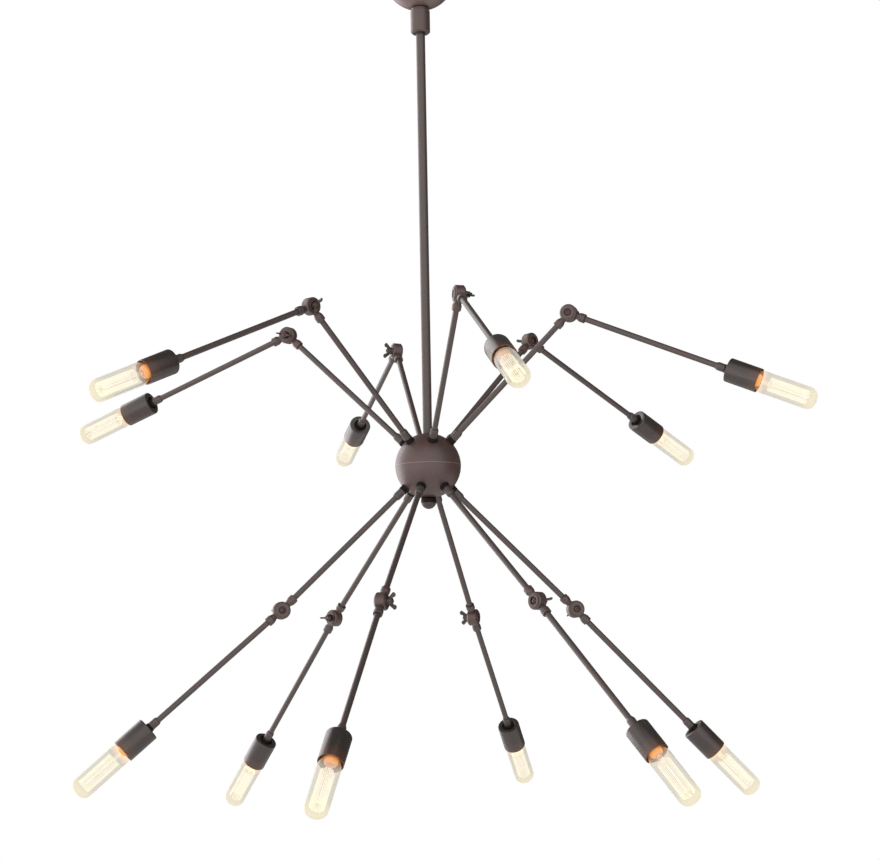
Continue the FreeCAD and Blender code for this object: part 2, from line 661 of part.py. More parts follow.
def bulb_glass():
    """Tubular envelope: neck, shoulder of two tangent arcs, straight wall and rounded tip."""
    inside, cavity = "(dim.bulb_radius - dim.glass_wall)", "(%s - dim.glass_wall)" % GLASS_END
    swell = "(dim.bulb_radius - %s)" % NECK_RADIUS
    bow = "((dim.bulb_shoulder_length^2 + %s^2) / (4 * %s))" % (swell, swell)
    middle = "(%s + dim.bulb_shoulder_length / 2)" % SHOULDER_START
    waist = "(%s + %s / 2)" % (NECK_RADIUS, swell)
    return turned_about_arm("bulb_glass", [
        (GLASS_START, NECK_INSIDE), (SHOULDER_START, NECK_INSIDE), (SHOULDER_END, inside),
        (TIP_CENTRE, inside), (cavity, TIP_FLAT, TIP_CENTRE, TIP_FLAT, -1), (cavity, "0"),
        (GLASS_END, "0"), (GLASS_END, TIP_FLAT),
        (TIP_CENTRE, "dim.bulb_radius", TIP_CENTRE, TIP_FLAT, 1), (SHOULDER_END, "dim.bulb_radius"),
        (middle, waist, SHOULDER_END, "(dim.bulb_radius - %s)" % bow, 1),
        (SHOULDER_START, NECK_RADIUS, SHOULDER_START, "(%s + %s)" % (NECK_RADIUS, bow), -1),
        (GLASS_START, NECK_RADIUS)])


def bulb_mount():
    """Glass stem in the bulb's neck, with a rod, a button and radial hooks for the filament."""
    button = "(%s - dim.mount_button_length)" % MOUNT_END
    body = turned_about_arm("bulb_mount", [
        (GLASS_START, "0"), (MOUNT_END, "0"), (MOUNT_END, "dim.mount_button_radius"),
        (button, "dim.mount_button_radius"), (button, "dim.mount_rod_radius"),
        ("(%s + dim.mount_flare_length)" % CAP_END, "dim.mount_rod_radius"), (CAP_END, MOUNT_RADIUS),
        (GLASS_START, MOUNT_RADIUS)])
    section = sketch_on(body, "hook_sketch", "XY_Plane")
    section.addGeometry(Part.Circle(Vector(value(HOOK_PLACE), 0), AXIS_Z, value("dim.support_radius")), False)
    bind(section, "DistanceX", 0, 3, HOOK_PLACE)
    section.addConstraint(Sketcher.Constraint("PointOnObject", 0, 3, -1))
    index = section.addConstraint(Sketcher.Constraint("Radius", 0, value("dim.support_radius")))
    section.setExpression("Constraints[%d]" % index, "dim.support_radius")
    doc.recompute()
    hook = body.newObject("PartDesign::Pad", "hook")
    hook.Profile = section
    hook.setExpression("Length", HOOK_REACH)
    pattern(body, hook, "hooks", "X_Axis", "dim.cage_pairs")
    return body


def filament():
    """Squirrel-cage filament: one wire that runs up and down the cage, with half-round loops at its ends."""
    strands = 2 * int(value("dim.cage_pairs"))
    radius, wire = value("dim.cage_radius"), value("dim.filament_radius")
    low, high, loop = value(CAGE_START), value(CAGE_END), value(LOOP_RADIUS)
    cone = (value(MOUNT_RADIUS) - radius + wire) / (value(MOUNT_RADIUS) - value("dim.mount_rod_radius"))
    lead = value(CAP_END) + value("dim.mount_flare_length") * cone + value("dim.hook_fit")

    def strand(index, along):
        angle = 2 * math.pi * (index - 0.5) / strands
        return Vector(along, radius * math.sin(angle), radius * math.cos(angle))

    edges = []
    for index in range(strands):
        upward = index % 2 == 0
        bottom = lead if index in (0, strands - 1) else low
        start, end = (bottom, high) if upward else (high, bottom)
        edges.append(Part.LineSegment(strand(index, start), strand(index, end)).toShape())
        if index < strands - 1:
            apex = (strand(index, end) + strand(index + 1, end)) / 2 + AXIS_X * (loop if upward else -loop)
            edges.append(Part.Arc(strand(index, end), apex, strand(index + 1, end)).toShape())
    section = Part.Wire(Part.Circle(strand(0, lead), AXIS_X, wire).toShape())
    piece = doc.addObject("Part::Feature", "filament")
    piece.Shape = Part.Wire(edges).makePipeShell([section], True, False)
    return piece


# The assembly

def lock_nuts(hub, roots):
    """Two nuts on the bracket, two inside the ball on its nipple, and one on each inner tube."""
    nut = hex_nut("nipple_nut", NUT_CORNER, "dim.nut_height", NIPPLE_HOLE)
    tube_nut = hex_nut("tube_nut", TUBE_NUT_CORNER, "dim.tube_nut_height", TUBE_HOLE)
    places = [shift(0, 0, -value("dim.bracket_drop")), shift(0, 0, -value(STEM_TOP)),
              hub * shift(0, 0, value(NUT_SEAT) - value("dim.nut_height")),
              hub * shift(0, 0, -value(NUT_SEAT))]
    nuts = [link(nut, "nipple_nut_%d" % (k + 1), place) for k, place in enumerate(places)]
    inset = shift(value(TUBE_NUT_SEAT) - value("dim.tube_nut_height"), 0, 0) * turn(AXIS_Y, 90)
    nuts += [link(tube_nut, "tube_nut_" + name, root * inset) for name, root in roots.items()]
    return group("lock_nuts", nuts)


def arm_places(hub):
    """The frames of every arm: at the hub, at the pivot, along the outer tube and on the wing nut."""
    count = int(value("dim.arm_count"))
    roots, pivots, outers, nuts = {}, {}, {}, {}
    for ring, rise, first, pose in (("upper", "dim.arm_rise", "dim.upper_turn", UPPER_POSE),
                                    ("lower", "-dim.arm_rise", "dim.lower_turn", LOWER_POSE)):
        for k in range(count):
            bend, twist, nut_turn = pose[k % len(pose)]
            name = "%s_%d" % (ring, k + 1)
            azimuth = value(first) + 360 * k / count
            roots[name] = hub * turn(AXIS_Z, azimuth) * turn(AXIS_Y, -value(rise))
            pivots[name] = roots[name] * shift(value("dim.arm_reach"), 0, 0) * turn(AXIS_X, twist)
            outers[name] = pivots[name] * turn(AXIS_Y, bend)
            nuts[name] = pivots[name] * turn(AXIS_Y, nut_turn)
    return roots, pivots, outers, nuts


def assemble():
    """Every node of the light, by its name."""
    hub = shift(0, 0, -value("dim.hub_drop"))
    roots, pivots, outers, nuts = arm_places(hub)
    nodes = [ceiling_bracket(), stem_nipples(), stem_tube(), canopy(), canopy_collar(), lock_nuts(hub, roots)]
    shells = ((hub_upper_shell(), "dim.upper_turn"), (hub_lower_shell(), "dim.lower_turn"), (finial(), "0"))
    for piece, first in shells:
        piece.Placement = hub * turn(AXIS_Z, value(first))
        nodes.append(piece)

    tube, sleeve, half, bolt = inner_tube(), ferrule(), knuckle_half(), pivot_bolt()
    seat, flip = shift(value(FERRULE_SEAT), 0, 0), turn(AXIS_Z, 180)
    tubes = [link(tube, "inner_tube_" + name, place) for name, place in roots.items()]
    tubes += [link(sleeve, "hub_ferrule_" + name, place * seat) for name, place in roots.items()]
    nodes.append(group("inner_tubes", tubes))
    halves = [link(half, "inner_half_" + name, place * flip) for name, place in pivots.items()]
    nodes.append(group("inner_knuckles", halves))
    nodes.append(group("pivot_bolts", [link(bolt, "bolt_" + name, place) for name, place in pivots.items()]))

    socket_sleeve = link(sleeve, "socket_ferrule", shift(value(SOCKET_FLOOR), 0, 0) * flip)
    arm = group("outer_arm", [half, outer_tube(), socket_sleeve])
    socket = group("lamp_socket", [socket_cup(), lamp_holder(), holder_contact()])
    bulb = group("filament_bulb", [bulb_cap(), bulb_glass(), bulb_mount(), filament()])
    nut = wing_nut()
    for name, place in outers.items():
        ring, number = name.split("_")
        for piece, master in (("arm", arm), ("socket", socket), ("bulb", bulb)):
            nodes.append(link(master, "%s_%s_%s" % (ring, piece, number), place))
        nodes.append(link(nut, "%s_wing_nut_%s" % (ring, number), nuts[name]))
    return nodes


NODES = assemble()
doc.recompute()
for item in doc.Objects:
    if "Invalid" in item.State or "Error" in item.State:
        raise RuntimeError("%s did not build: %s" % (item.Name, item.State))
for node in NODES:
    if node.Shape.isNull() or not node.Shape.isValid():
        raise RuntimeError("%s has no valid shape" % node.Label)
os.makedirs("parts", exist_ok=True)
for node in NODES:
    node.Shape.exportStep("parts/%s.step" % node.Label)
print("%d nodes, %d solids" % (len(NODES), sum(len(node.Shape.Solids) for node in NODES)))
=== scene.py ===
# %% [markdown]
# # A twelve-arm pendant light with jointed arms
# The imported model already holds the metalwork at its true size. This lesson dresses it: it sets up a studio,
# mixes the finishes, and builds in mesh code the pieces that live by their detail, which are the trim at the
# ball, whose black is painted shade, the lamp sockets, the glass bulbs, the pivot bolts and the wing nuts.

# %% Load the frame
import json
from math import atan2, copysign, cos, hypot, pi, radians, sin, sqrt

import bmesh
import bpy
from mathutils import Matrix, Vector


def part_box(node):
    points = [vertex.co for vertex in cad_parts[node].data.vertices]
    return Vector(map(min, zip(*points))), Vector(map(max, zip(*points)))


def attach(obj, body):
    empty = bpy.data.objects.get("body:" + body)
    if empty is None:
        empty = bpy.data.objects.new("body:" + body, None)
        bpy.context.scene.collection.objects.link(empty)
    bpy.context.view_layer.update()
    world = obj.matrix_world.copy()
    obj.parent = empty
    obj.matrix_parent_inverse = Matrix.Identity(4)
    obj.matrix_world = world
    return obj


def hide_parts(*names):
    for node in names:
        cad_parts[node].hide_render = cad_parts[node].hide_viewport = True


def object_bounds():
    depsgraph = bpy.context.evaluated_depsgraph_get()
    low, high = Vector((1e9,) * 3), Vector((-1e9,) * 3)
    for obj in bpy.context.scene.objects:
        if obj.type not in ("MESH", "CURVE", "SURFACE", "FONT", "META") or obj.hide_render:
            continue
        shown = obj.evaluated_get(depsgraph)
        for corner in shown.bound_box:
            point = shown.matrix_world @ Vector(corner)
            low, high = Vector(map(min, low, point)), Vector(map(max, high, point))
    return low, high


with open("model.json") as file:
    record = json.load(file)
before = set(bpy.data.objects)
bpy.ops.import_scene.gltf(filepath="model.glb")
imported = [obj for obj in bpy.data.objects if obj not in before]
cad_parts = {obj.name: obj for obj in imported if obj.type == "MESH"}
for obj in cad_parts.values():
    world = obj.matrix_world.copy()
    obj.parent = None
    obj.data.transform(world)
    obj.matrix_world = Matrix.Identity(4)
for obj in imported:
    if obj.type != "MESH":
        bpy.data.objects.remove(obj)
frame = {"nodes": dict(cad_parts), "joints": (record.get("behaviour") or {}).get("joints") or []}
cad_low, cad_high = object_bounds()
scene = bpy.context.scene
nodes = frame["nodes"]
MM = 0.001

# %% [markdown]
# ## The camera
# The photograph was taken from about three metres away with a long lens that looks slightly up. Its place,
# angles and focal length were matched to points on the arms. Blender asks for a lens in millimetres, which
# is the focal length in pixels scaled to the sensor.

# %% Place the camera
IMAGE_WIDTH = 880
FOCAL_PIXELS = 2119.1
SENSOR_WIDTH = 36.0
CAMERA_PLACE = Vector((0.0, -2.9443, -1.1029))
CAMERA_YAW = radians(0.342)
CAMERA_PITCH = radians(8.335)
CAMERA_ROLL = radians(-1.065)


def add_camera():
    """A camera turned by yaw and pitch and then rolled about its line of sight."""
    ahead = Vector((sin(CAMERA_YAW) * cos(CAMERA_PITCH), cos(CAMERA_YAW) * cos(CAMERA_PITCH),
                    sin(CAMERA_PITCH)))
    level = Vector((cos(CAMERA_YAW), -sin(CAMERA_YAW), 0.0))
    upright = level.cross(ahead)
    right = level * cos(CAMERA_ROLL) + upright * sin(CAMERA_ROLL)
    up = upright * cos(CAMERA_ROLL) - level * sin(CAMERA_ROLL)
    lens = bpy.data.cameras.new("camera")
    lens.sensor_width = SENSOR_WIDTH
    lens.lens = SENSOR_WIDTH * FOCAL_PIXELS / IMAGE_WIDTH
    camera = bpy.data.objects.new("camera", lens)
    turn = Matrix((right, up, -ahead)).transposed().to_4x4()
    camera.matrix_world = Matrix.Translation(CAMERA_PLACE) @ turn
    scene.collection.objects.link(camera)
    scene.camera = camera
    return camera


camera = add_camera()
print("lens: %.1f mm" % camera.data.lens)

# %% [markdown]
# ## Node helpers
# Every finish below is a small graph of shader nodes. These helpers add a node and fill in its inputs, start
# an empty material, and set its shader and its glow.

# %% Write the node helpers


def fill_inputs(tree, node, inputs):
    """Sets inputs of a node by name or place. An input that is itself a socket is linked."""
    for name, entry in inputs.items():
        if isinstance(entry, bpy.types.NodeSocket):
            tree.links.new(entry, node.inputs[name])
        else:
            node.inputs[name].default_value = entry


def add_node(tree, kind, inputs=(), **settings):
    node = tree.nodes.new("ShaderNode" + kind)
    for name, setting in settings.items():
        setattr(node, name, setting)
    fill_inputs(tree, node, dict(inputs))
    return node


def new_finish(name):
    """An empty material, its node tree and its Principled shader."""
    material = bpy.data.materials.new(name)
    material.use_nodes = True
    tree = material.node_tree
    return material, tree, tree.nodes["Principled BSDF"]


def set_shader(tree, shader, **inputs):
    """Sets or links inputs of a shader. Underscores stand for the spaces in a socket's name."""
    fill_inputs(tree, shader, {name.replace("_", " "): entry for name, entry in inputs.items()})


def set_glow(material, colour, strength):
    """Makes a finish give off light. It isn't sampled like a lamp: hundreds of tiny lamps only add grain."""
    tree = material.node_tree
    set_shader(tree, tree.nodes["Principled BSDF"], Emission_Color=colour, Emission_Strength=strength)
    material.cycles.emission_sampling = "NONE"


print("node helpers ready")

# %% [markdown]
# ## Patterns
# Real surfaces are never even. These helpers make a noise, soft patches, a mix of two colours, a colour that
# changes along an arm, and a bump. The last is a whole recipe for finishes that are only blotched.

# %% Write the pattern helpers
MIX_INPUTS = (0, 6, 7)
MIX_OUTPUT = 2


def own_place(tree):
    """Where a point lies in its piece's own axes, in metres."""
    return add_node(tree, "TexCoord").outputs["Object"]


def noise(tree, scale, detail=2.0, roughness=0.5):
    """A noise pattern fixed to the piece, with its scale in waves per metre."""
    inputs = {"Vector": own_place(tree), "Scale": scale, "Detail": detail, "Roughness": roughness}
    return add_node(tree, "TexNoise", inputs).outputs["Fac"]


def remap(tree, source, low, high, new_low=0.0, new_high=1.0):
    """A value moved from one range to another, and held inside the new one."""
    return add_node(tree, "MapRange", {"Value": source, "From Min": low, "From Max": high,
                                       "To Min": new_low, "To Max": new_high}).outputs["Result"]


def mottle(tree, scale, detail=2.0, roughness=0.5, low=0.35, high=0.65):
    """Soft patches from 0 to 1: the middle part of a noise, stretched out."""
    return remap(tree, noise(tree, scale, detail, roughness), low, high)


def uneven(tree, scale, least, most, detail=2.0):
    """A number that wanders between two values, for a roughness that isn't the same all over."""
    return remap(tree, noise(tree, scale, detail), 0.3, 0.7, least, most)


def math_node(tree, operation, first, second, **settings):
    return add_node(tree, "Math", {0: first, 1: second}, operation=operation, **settings).outputs[0]


def vector_node(tree, operation, *vectors, output="Value"):
    return add_node(tree, "VectorMath", enumerate(vectors), operation=operation).outputs[output]


def blend(tree, share, first, second):
    """Two colours mixed by a share from 0 to 1. A Mix node has its colours at fixed places."""
    mix = add_node(tree, "Mix", zip(MIX_INPUTS, (share, first, second)), data_type="RGBA")
    return mix.outputs[MIX_OUTPUT]


def arm_length(tree):
    """How far along its own X a point of a piece lies, in metres. On an arm that is the arm's line."""
    return add_node(tree, "SeparateXYZ", {0: own_place(tree)}).outputs["X"]


def along_arm(tree, stops):
    """A colour that changes along the arm, from a dict of lengths in millimetres and colours."""
    first, last = min(stops), max(stops)
    ramp = add_node(tree, "ValToRGB", {0: remap(tree, arm_length(tree), first * MM, last * MM)})
    elements = ramp.color_ramp.elements
    for stop, colour in sorted(stops.items())[1:-1]:
        elements.new((stop - first) / (last - first)).color = colour
    elements[0].color = stops[first]
    elements[-1].color = stops[last]
    return ramp.outputs["Color"]


def bump(tree, height, strength, depth, **normal):
    """A normal roughened by a pattern of a depth in millimetres, on top of another if one is given."""
    inputs = {"Height": height, "Strength": strength, "Distance": depth * MM, **normal}
    return add_node(tree, "Bump", inputs).outputs["Normal"]


def mottled(name, colours, patches, rough, grain=None, **inputs):
    """A finish that is blotched between two colours, with an uneven roughness.

    The patches are settings of a mottle, and the roughness has a scale, its least, its most and perhaps a
    detail. A grain has a scale, a strength and a depth. Other inputs go straight to the shader.
    """
    material, tree, shader = new_finish(name)
    set_shader(tree, shader, Base_Color=blend(tree, mottle(tree, **patches), *colours),
               Roughness=uneven(tree, *rough), **inputs)
    if grain:
        scale, strength, depth = grain
        set_shader(tree, shader, Normal=bump(tree, noise(tree, scale), strength, depth))
    return material


print("pattern helpers ready")

# %% [markdown]
# ## The studio
# The photograph has a white ground, a tall soft light behind on the left, a wide one in front and little on
# the right. They are painted on the world as soft patches, because separate lamps would leave grain on thin
# tubes. White would wash the metal out as a reflection, so it shows only straight to the camera or through
# glass.

# %% Paint the sky
SKY_BASE = 0.10
SKY_STRETCH = (1.0, 1.0, 0.45)
SKY_PATCHES = {
    "left_window": {"aim": (-0.72, 0.70, 0.0), "edge": 0.80, "core": 0.98, "level": 2.1},
    "left_wall": {"aim": (-0.95, -0.15, -0.25), "edge": 0.35, "core": 0.95, "level": 0.90},
    "front_wall": {"aim": (0.15, -0.97, -0.12), "edge": 0.3, "core": 0.98, "level": 0.85},
}
SKY_TINT = (1.0, 0.985, 0.985, 1.0)
WHITE = (1.0, 1.0, 1.0, 1.0)


def soft_patch(tree, direction, aim, edge, core, level):
    """The light of a patch of sky. The edge and the core are cosines of the angle from its aim."""
    nearness = vector_node(tree, "DOT_PRODUCT", direction, tuple(Vector(aim).normalized()))
    inputs = {"Value": nearness, "From Min": edge, "From Max": core, "To Max": level}
    return add_node(tree, "MapRange", inputs, interpolation_type="SMOOTHSTEP").outputs["Result"]


def add_world():
    """Patches of sky for the light and the reflections, and white where the ground itself is seen."""
    world = bpy.data.worlds.new("studio")
    world.use_nodes = True
    tree = world.node_tree
    tree.nodes.clear()
    around = add_node(tree, "TexCoord").outputs["Generated"]
    flatter = vector_node(tree, "MULTIPLY", around, SKY_STRETCH, output="Vector")
    direction = vector_node(tree, "NORMALIZE", flatter, output="Vector")
    strength = SKY_BASE
    for patch in SKY_PATCHES.values():
        strength = math_node(tree, "ADD", strength, soft_patch(tree, direction, **patch))
    sky = add_node(tree, "Background", {"Color": SKY_TINT, "Strength": strength}).outputs[0]
    ground = add_node(tree, "Background", {"Color": WHITE, "Strength": 1.0}).outputs[0]
    path = add_node(tree, "LightPath").outputs
    seen = math_node(tree, "MAXIMUM", path["Is Camera Ray"], path["Is Transmission Ray"])
    choice = add_node(tree, "MixShader", {0: seen, 1: sky, 2: ground}).outputs[0]
    add_node(tree, "OutputWorld", {"Surface": choice})
    scene.world = world


add_world()
scene.view_settings.view_transform = "Standard"
print("patches of sky:", ", ".join(SKY_PATCHES))

# %% [markdown]
# ## The floor
# A pale disc lies well below the lamp. It turns clear towards its rim, so no edge of it shows.

# %% Lay the floor
FLOOR_DROP = 1.3
FLOOR_RADIUS = 7.0
FLOOR_FADE = 3.0
FLOOR_SIDES = 96
FLOOR_PALE = (0.90, 0.90, 0.89, 1.0)
FLOOR_ROUGHNESS = 0.7
FLOOR_LIFT = 0.15


def new_mesh(name, form):
    """A mesh from a form that was built up in bmesh. The form is used up."""
    mesh = bpy.data.meshes.new(name)
    form.to_mesh(mesh)
    form.free()
    return mesh


def pale_floor():
    material, tree, shader = new_finish("pale_floor")
    set_shader(tree, shader, Base_Color=FLOOR_PALE, Roughness=FLOOR_ROUGHNESS, Emission_Color=WHITE,
               Emission_Strength=FLOOR_LIFT)
    clear = add_node(tree, "BsdfTransparent").outputs[0]
    edge = remap(tree, vector_node(tree, "LENGTH", own_place(tree)), FLOOR_FADE, FLOOR_RADIUS)
    mixed = add_node(tree, "MixShader", {0: edge, 1: shader.outputs[0], 2: clear}).outputs[0]
    tree.links.new(mixed, tree.nodes["Material Output"].inputs["Surface"])
    return material


def add_floor():
    form = bmesh.new()
    bmesh.ops.create_circle(form, cap_ends=True, segments=FLOOR_SIDES, radius=FLOOR_RADIUS)
    mesh = new_mesh("floor", form)
    mesh.materials.append(pale_floor())
    floor = bpy.data.objects.new("floor", mesh)
    floor.location = (0.0, 0.0, cad_low.z - FLOOR_DROP)
    scene.collection.objects.link(floor)


add_floor()
print("floor: %.2f m below the ceiling" % (FLOOR_DROP - cad_low.z))

# %% [markdown]
# ## The bronze
# Nearly all the metal is one dark, oil-rubbed bronze. It clouds between a grey-brown and a redder brown, has
# a fine pale grain, and is paler and warmer on edges, which is wear and a painted highlight. In corners it
# has painted shade, almost black. The Bevel node finds the edges, because there its softened normal leaves
# the true one, and the Ambient Occlusion node finds the corners. The pieces differ in brightness, in their
# share of red and in gloss; the bright canopy bronze is painted light. The warm light of a bulb can be painted
# on the bronze as a brown, and round the middle of a knuckle it can be redder.

# %% Mix the bronze
BRONZE_GREY = (0.074, 0.062, 0.057)
BRONZE_RED = (0.180, 0.052, 0.037)
# Paler bronze for wear, and on edges also for a painted highlight.
BRONZE_RUBBED_HIGHLIGHT = (0.300, 0.200, 0.165)
# Painted shade: the near-black colour that the bronze takes in corners.
BRONZE_PAINTED_SHADE = (0.016, 0.006, 0.005)
BRONZE_METAL = 0.1
BRONZE_BEND = 1.8
PLAIN_BRONZE = {"shade": 1.0, "warmth": 0.12, "gloss": 0.38}
# Painted light: the brown that the warm light of a bulb leaves near a socket's mouth.
BULB_LIGHT_BROWN = (0.20, 0.075, 0.030, 1.0)
BULB_LIGHT_SHARE = 0.5
KNUCKLE_CORE = 7 * MM
KNUCKLE_EDGE = 16 * MM
KNUCKLE_WARMTH = 0.5
CLOUD_SPREAD = 0.12
EDGE_SOFTNESS = 0.6 * MM
EDGE_LIKENESS = (0.97, 0.80)
RUB_SHARE = (0.1, 0.8)
GRAIN_SCALE = 800
GRAIN_SPAN = (0.45, 0.75)
GRAIN_SHARE = 0.15
GRAIN_DEPTH = 0.03
DENT_SCALE = 90
DENT_DEPTH = 0.1
PAINTED_SHADE_REACH = 14 * MM
PAINTED_SHADE_SPAN = (0.35, 0.9)
NEAR_RAYS = 8


def shaded(colour, shade):
    """A colour with its brightness multiplied, as a shader input."""
    return tuple(part * shade for part in colour) + (1.0,)


def redness(tree, warmth, knuckle):
    """The share of red in the clouds. It grows towards the middle of a knuckle, if one is given."""
    pattern = noise(tree, scale=28, detail=4.0, roughness=0.6)
    clouds = remap(tree, pattern, 0.35, 0.65, warmth - CLOUD_SPREAD, warmth + CLOUD_SPREAD)
    if knuckle is None:
        return clouds
    distance = vector_node(tree, "DISTANCE", own_place(tree), knuckle)
    redder = remap(tree, distance, KNUCKLE_EDGE, KNUCKLE_CORE, 0.0, KNUCKLE_WARMTH)
    return math_node(tree, "ADD", clouds, redder, use_clamp=True)


def wear_and_edge_highlight(tree):
    """How far the bronze is made paler: along its edges in patches, as wear and a painted highlight, and in
    a fine grain all over.
    """
    softened = add_node(tree, "Bevel", {"Radius": EDGE_SOFTNESS}, samples=NEAR_RAYS).outputs["Normal"]
    true_normal = add_node(tree, "NewGeometry").outputs["Normal"]
    # The edges are paler as wear and as a painted highlight where they catch the light.
    worn_lit_edges = remap(tree, vector_node(tree, "DOT_PRODUCT", softened, true_normal), *EDGE_LIKENESS)
    patches = remap(tree, noise(tree, scale=160, detail=3.0), 0.35, 0.65, *RUB_SHARE)
    pattern = noise(tree, GRAIN_SCALE, detail=3.0, roughness=0.6)
    grain = remap(tree, pattern, *GRAIN_SPAN, 0.0, GRAIN_SHARE)
    return math_node(tree, "MAXIMUM", math_node(tree, "MULTIPLY", worn_lit_edges, patches), grain)


def dark_bronze(name, shade, warmth, gloss, bulb_lit_span=None, knuckle=None):
    """The bronze at a brightness, with a share of red in its clouds and a roughness.

    Warm light of a bulb may be painted on it as a brown between two lengths on its arm, and it may be redder
    round a point. Painted shade makes it almost black in corners. Slow dents in its bump keep the highlights
    from looking machine-made.
    """
    material, tree, shader = new_finish(name)
    clouds = redness(tree, warmth, knuckle)
    colour = blend(tree, clouds, shaded(BRONZE_GREY, shade), shaded(BRONZE_RED, shade))
    colour = blend(tree, wear_and_edge_highlight(tree), colour, shaded(BRONZE_RUBBED_HIGHLIGHT, shade))
    # Painted light: the warm light of a bulb, laid on as a brown between two lengths on the arm.
    if bulb_lit_span:
        light_share = remap(tree, arm_length(tree), bulb_lit_span[0] * MM, bulb_lit_span[1] * MM, 0.0, BULB_LIGHT_SHARE)
        colour = blend(tree, light_share, colour, BULB_LIGHT_BROWN)
    # Painted shade: where the Ambient Occlusion node finds a corner, the colour goes almost black.
    near = add_node(tree, "AmbientOcclusion", {"Distance": PAINTED_SHADE_REACH}, samples=NEAR_RAYS)
    unshaded_share = remap(tree, near.outputs["AO"], *PAINTED_SHADE_SPAN)
    colour = blend(tree, unshaded_share, shaded(BRONZE_PAINTED_SHADE, shade), colour)
    dents = bump(tree, noise(tree, DENT_SCALE, detail=3.0), strength=0.1, depth=DENT_DEPTH)
    grain = noise(tree, GRAIN_SCALE, detail=3.0)
    set_shader(tree, shader, Base_Color=colour, Metallic=BRONZE_METAL, IOR=BRONZE_BEND,
               Roughness=uneven(tree, scale=240, least=gloss - 0.04, most=gloss + 0.06, detail=4.0),
               Normal=bump(tree, grain, strength=0.1, depth=GRAIN_DEPTH, Normal=dents))
    return material


bronze = dark_bronze("dark_bronze", **PLAIN_BRONZE)
ball_bronze = dark_bronze("ball_bronze", shade=1.0, warmth=0.30, gloss=0.36)
bolt_bronze = dark_bronze("bolt_bronze", shade=0.55, warmth=0.95, gloss=0.44)
nut_bronze = dark_bronze("nut_bronze", shade=0.55, warmth=0.30, gloss=0.42)
# Painted light: a brighter copy of the plain bronze stands for the light on the canopy, and on the seam bead
# for a painted highlight.
painted_light_bronze = dark_bronze("painted_light_bronze", shade=2.3, warmth=0.15, gloss=0.38)
print("bronzes: plain, ball, bolt, nut and canopy")

# %% [markdown]
# ## The steel
# The strap, the nipples and the lock nuts are zinc-plated steel, dull and a little blotchy, with the lines
# left by rolling and turning.

# %% Mix the plated steel
ZINC_PALE = (0.42, 0.42, 0.41, 1.0)
ZINC_DULL = (0.25, 0.26, 0.27, 1.0)
ROLLING_SCALE = (40.0, 1200.0, 1200.0)


def plated_steel():
    material, tree, shader = new_finish("plated_steel")
    stretched = add_node(tree, "Mapping", {"Vector": own_place(tree), "Scale": ROLLING_SCALE}).outputs[0]
    lines = add_node(tree, "TexNoise", {"Vector": stretched, "Scale": 1.0, "Detail": 3.0}).outputs["Fac"]
    blotches = mottle(tree, scale=90, detail=4.0)
    set_shader(tree, shader, Base_Color=blend(tree, blotches, ZINC_PALE, ZINC_DULL), Metallic=1.0,
               Roughness=remap(tree, lines, 0.3, 0.7, 0.40, 0.60),
               Normal=bump(tree, lines, strength=0.15, depth=0.04))
    return material


steel = plated_steel()
print("finish:", steel.name)

# %% [markdown]
# ## A finish for every solid
# The solids keep their shapes, and each gets a finish here. What isn't listed is plain bronze. Finer pieces
# stand for the sockets, the bulbs, the bolts and the wing nuts further down.

# %% Give out the finishes
finishes = {
    "ceiling_bracket": steel, "stem_nipples": steel, "lock_nuts": steel,
    "canopy": painted_light_bronze, "canopy_collar": ball_bronze, "inner_knuckles": ball_bronze,
    "hub_upper_shell": ball_bronze, "hub_lower_shell": ball_bronze, "finial": nut_bronze,
}
for name, node in nodes.items():
    node.data.materials.clear()
    node.data.materials.append(finishes.get(name, bronze))
print("nodes that aren't plain bronze:", ", ".join(finishes))

# %% [markdown]
# ## Where each arm points
# A bulb has to sit exactly on its arm, so nothing is typed in here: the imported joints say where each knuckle
# turns and about which line, and the socket's solid says where the arm points. They give a matrix from the
# arm's axes, X along the tube and Y along the pivot bolt, to the room.

# %% Find the arms
ARMS = [f"{ring}_{number}" for ring in ("upper", "lower") for number in range(1, 7)]
joints = {joint["name"]: joint for joint in frame["joints"]}


def node_name(arm, kind):
    """The name of an arm's node, such as upper_bulb_1 for the bulb of upper_1."""
    ring, number = arm.split("_")
    return f"{ring}_{kind}_{number}"


def spots(name):
    """The different places where a node has vertices."""
    return {vertex.co.to_tuple(6) for vertex in nodes[name].data.vertices}


def middle(name):
    places = spots(name)
    return sum((Vector(place) for place in places), Vector()) / len(places)


def arm_matrix(arm):
    """Where an arm's pivot is and how the arm is turned, with the wing nut on the side of Y."""
    swing = joints[f"{arm}_swing"]
    pivot = Vector(swing["pos_m"])
    bolt = Vector(swing["axis"]).normalized()
    if (middle(node_name(arm, "wing_nut")) - pivot).dot(bolt) < 0:
        bolt = -bolt
    along = middle(node_name(arm, "socket")) - pivot
    along = (along - bolt * along.dot(bolt)).normalized()
    turn = Matrix((along, bolt, along.cross(bolt))).transposed().to_4x4()
    return Matrix.Translation(pivot) @ turn


def reach(name, matrix):
    """How far a node goes along X, from and to, and its largest radius about X, all in millimetres."""
    back = matrix.inverted()
    places = [back @ Vector(place) for place in spots(name)]
    lengths = [place.x / MM for place in places]
    return min(lengths), max(lengths), max(hypot(place.y, place.z) for place in places) / MM


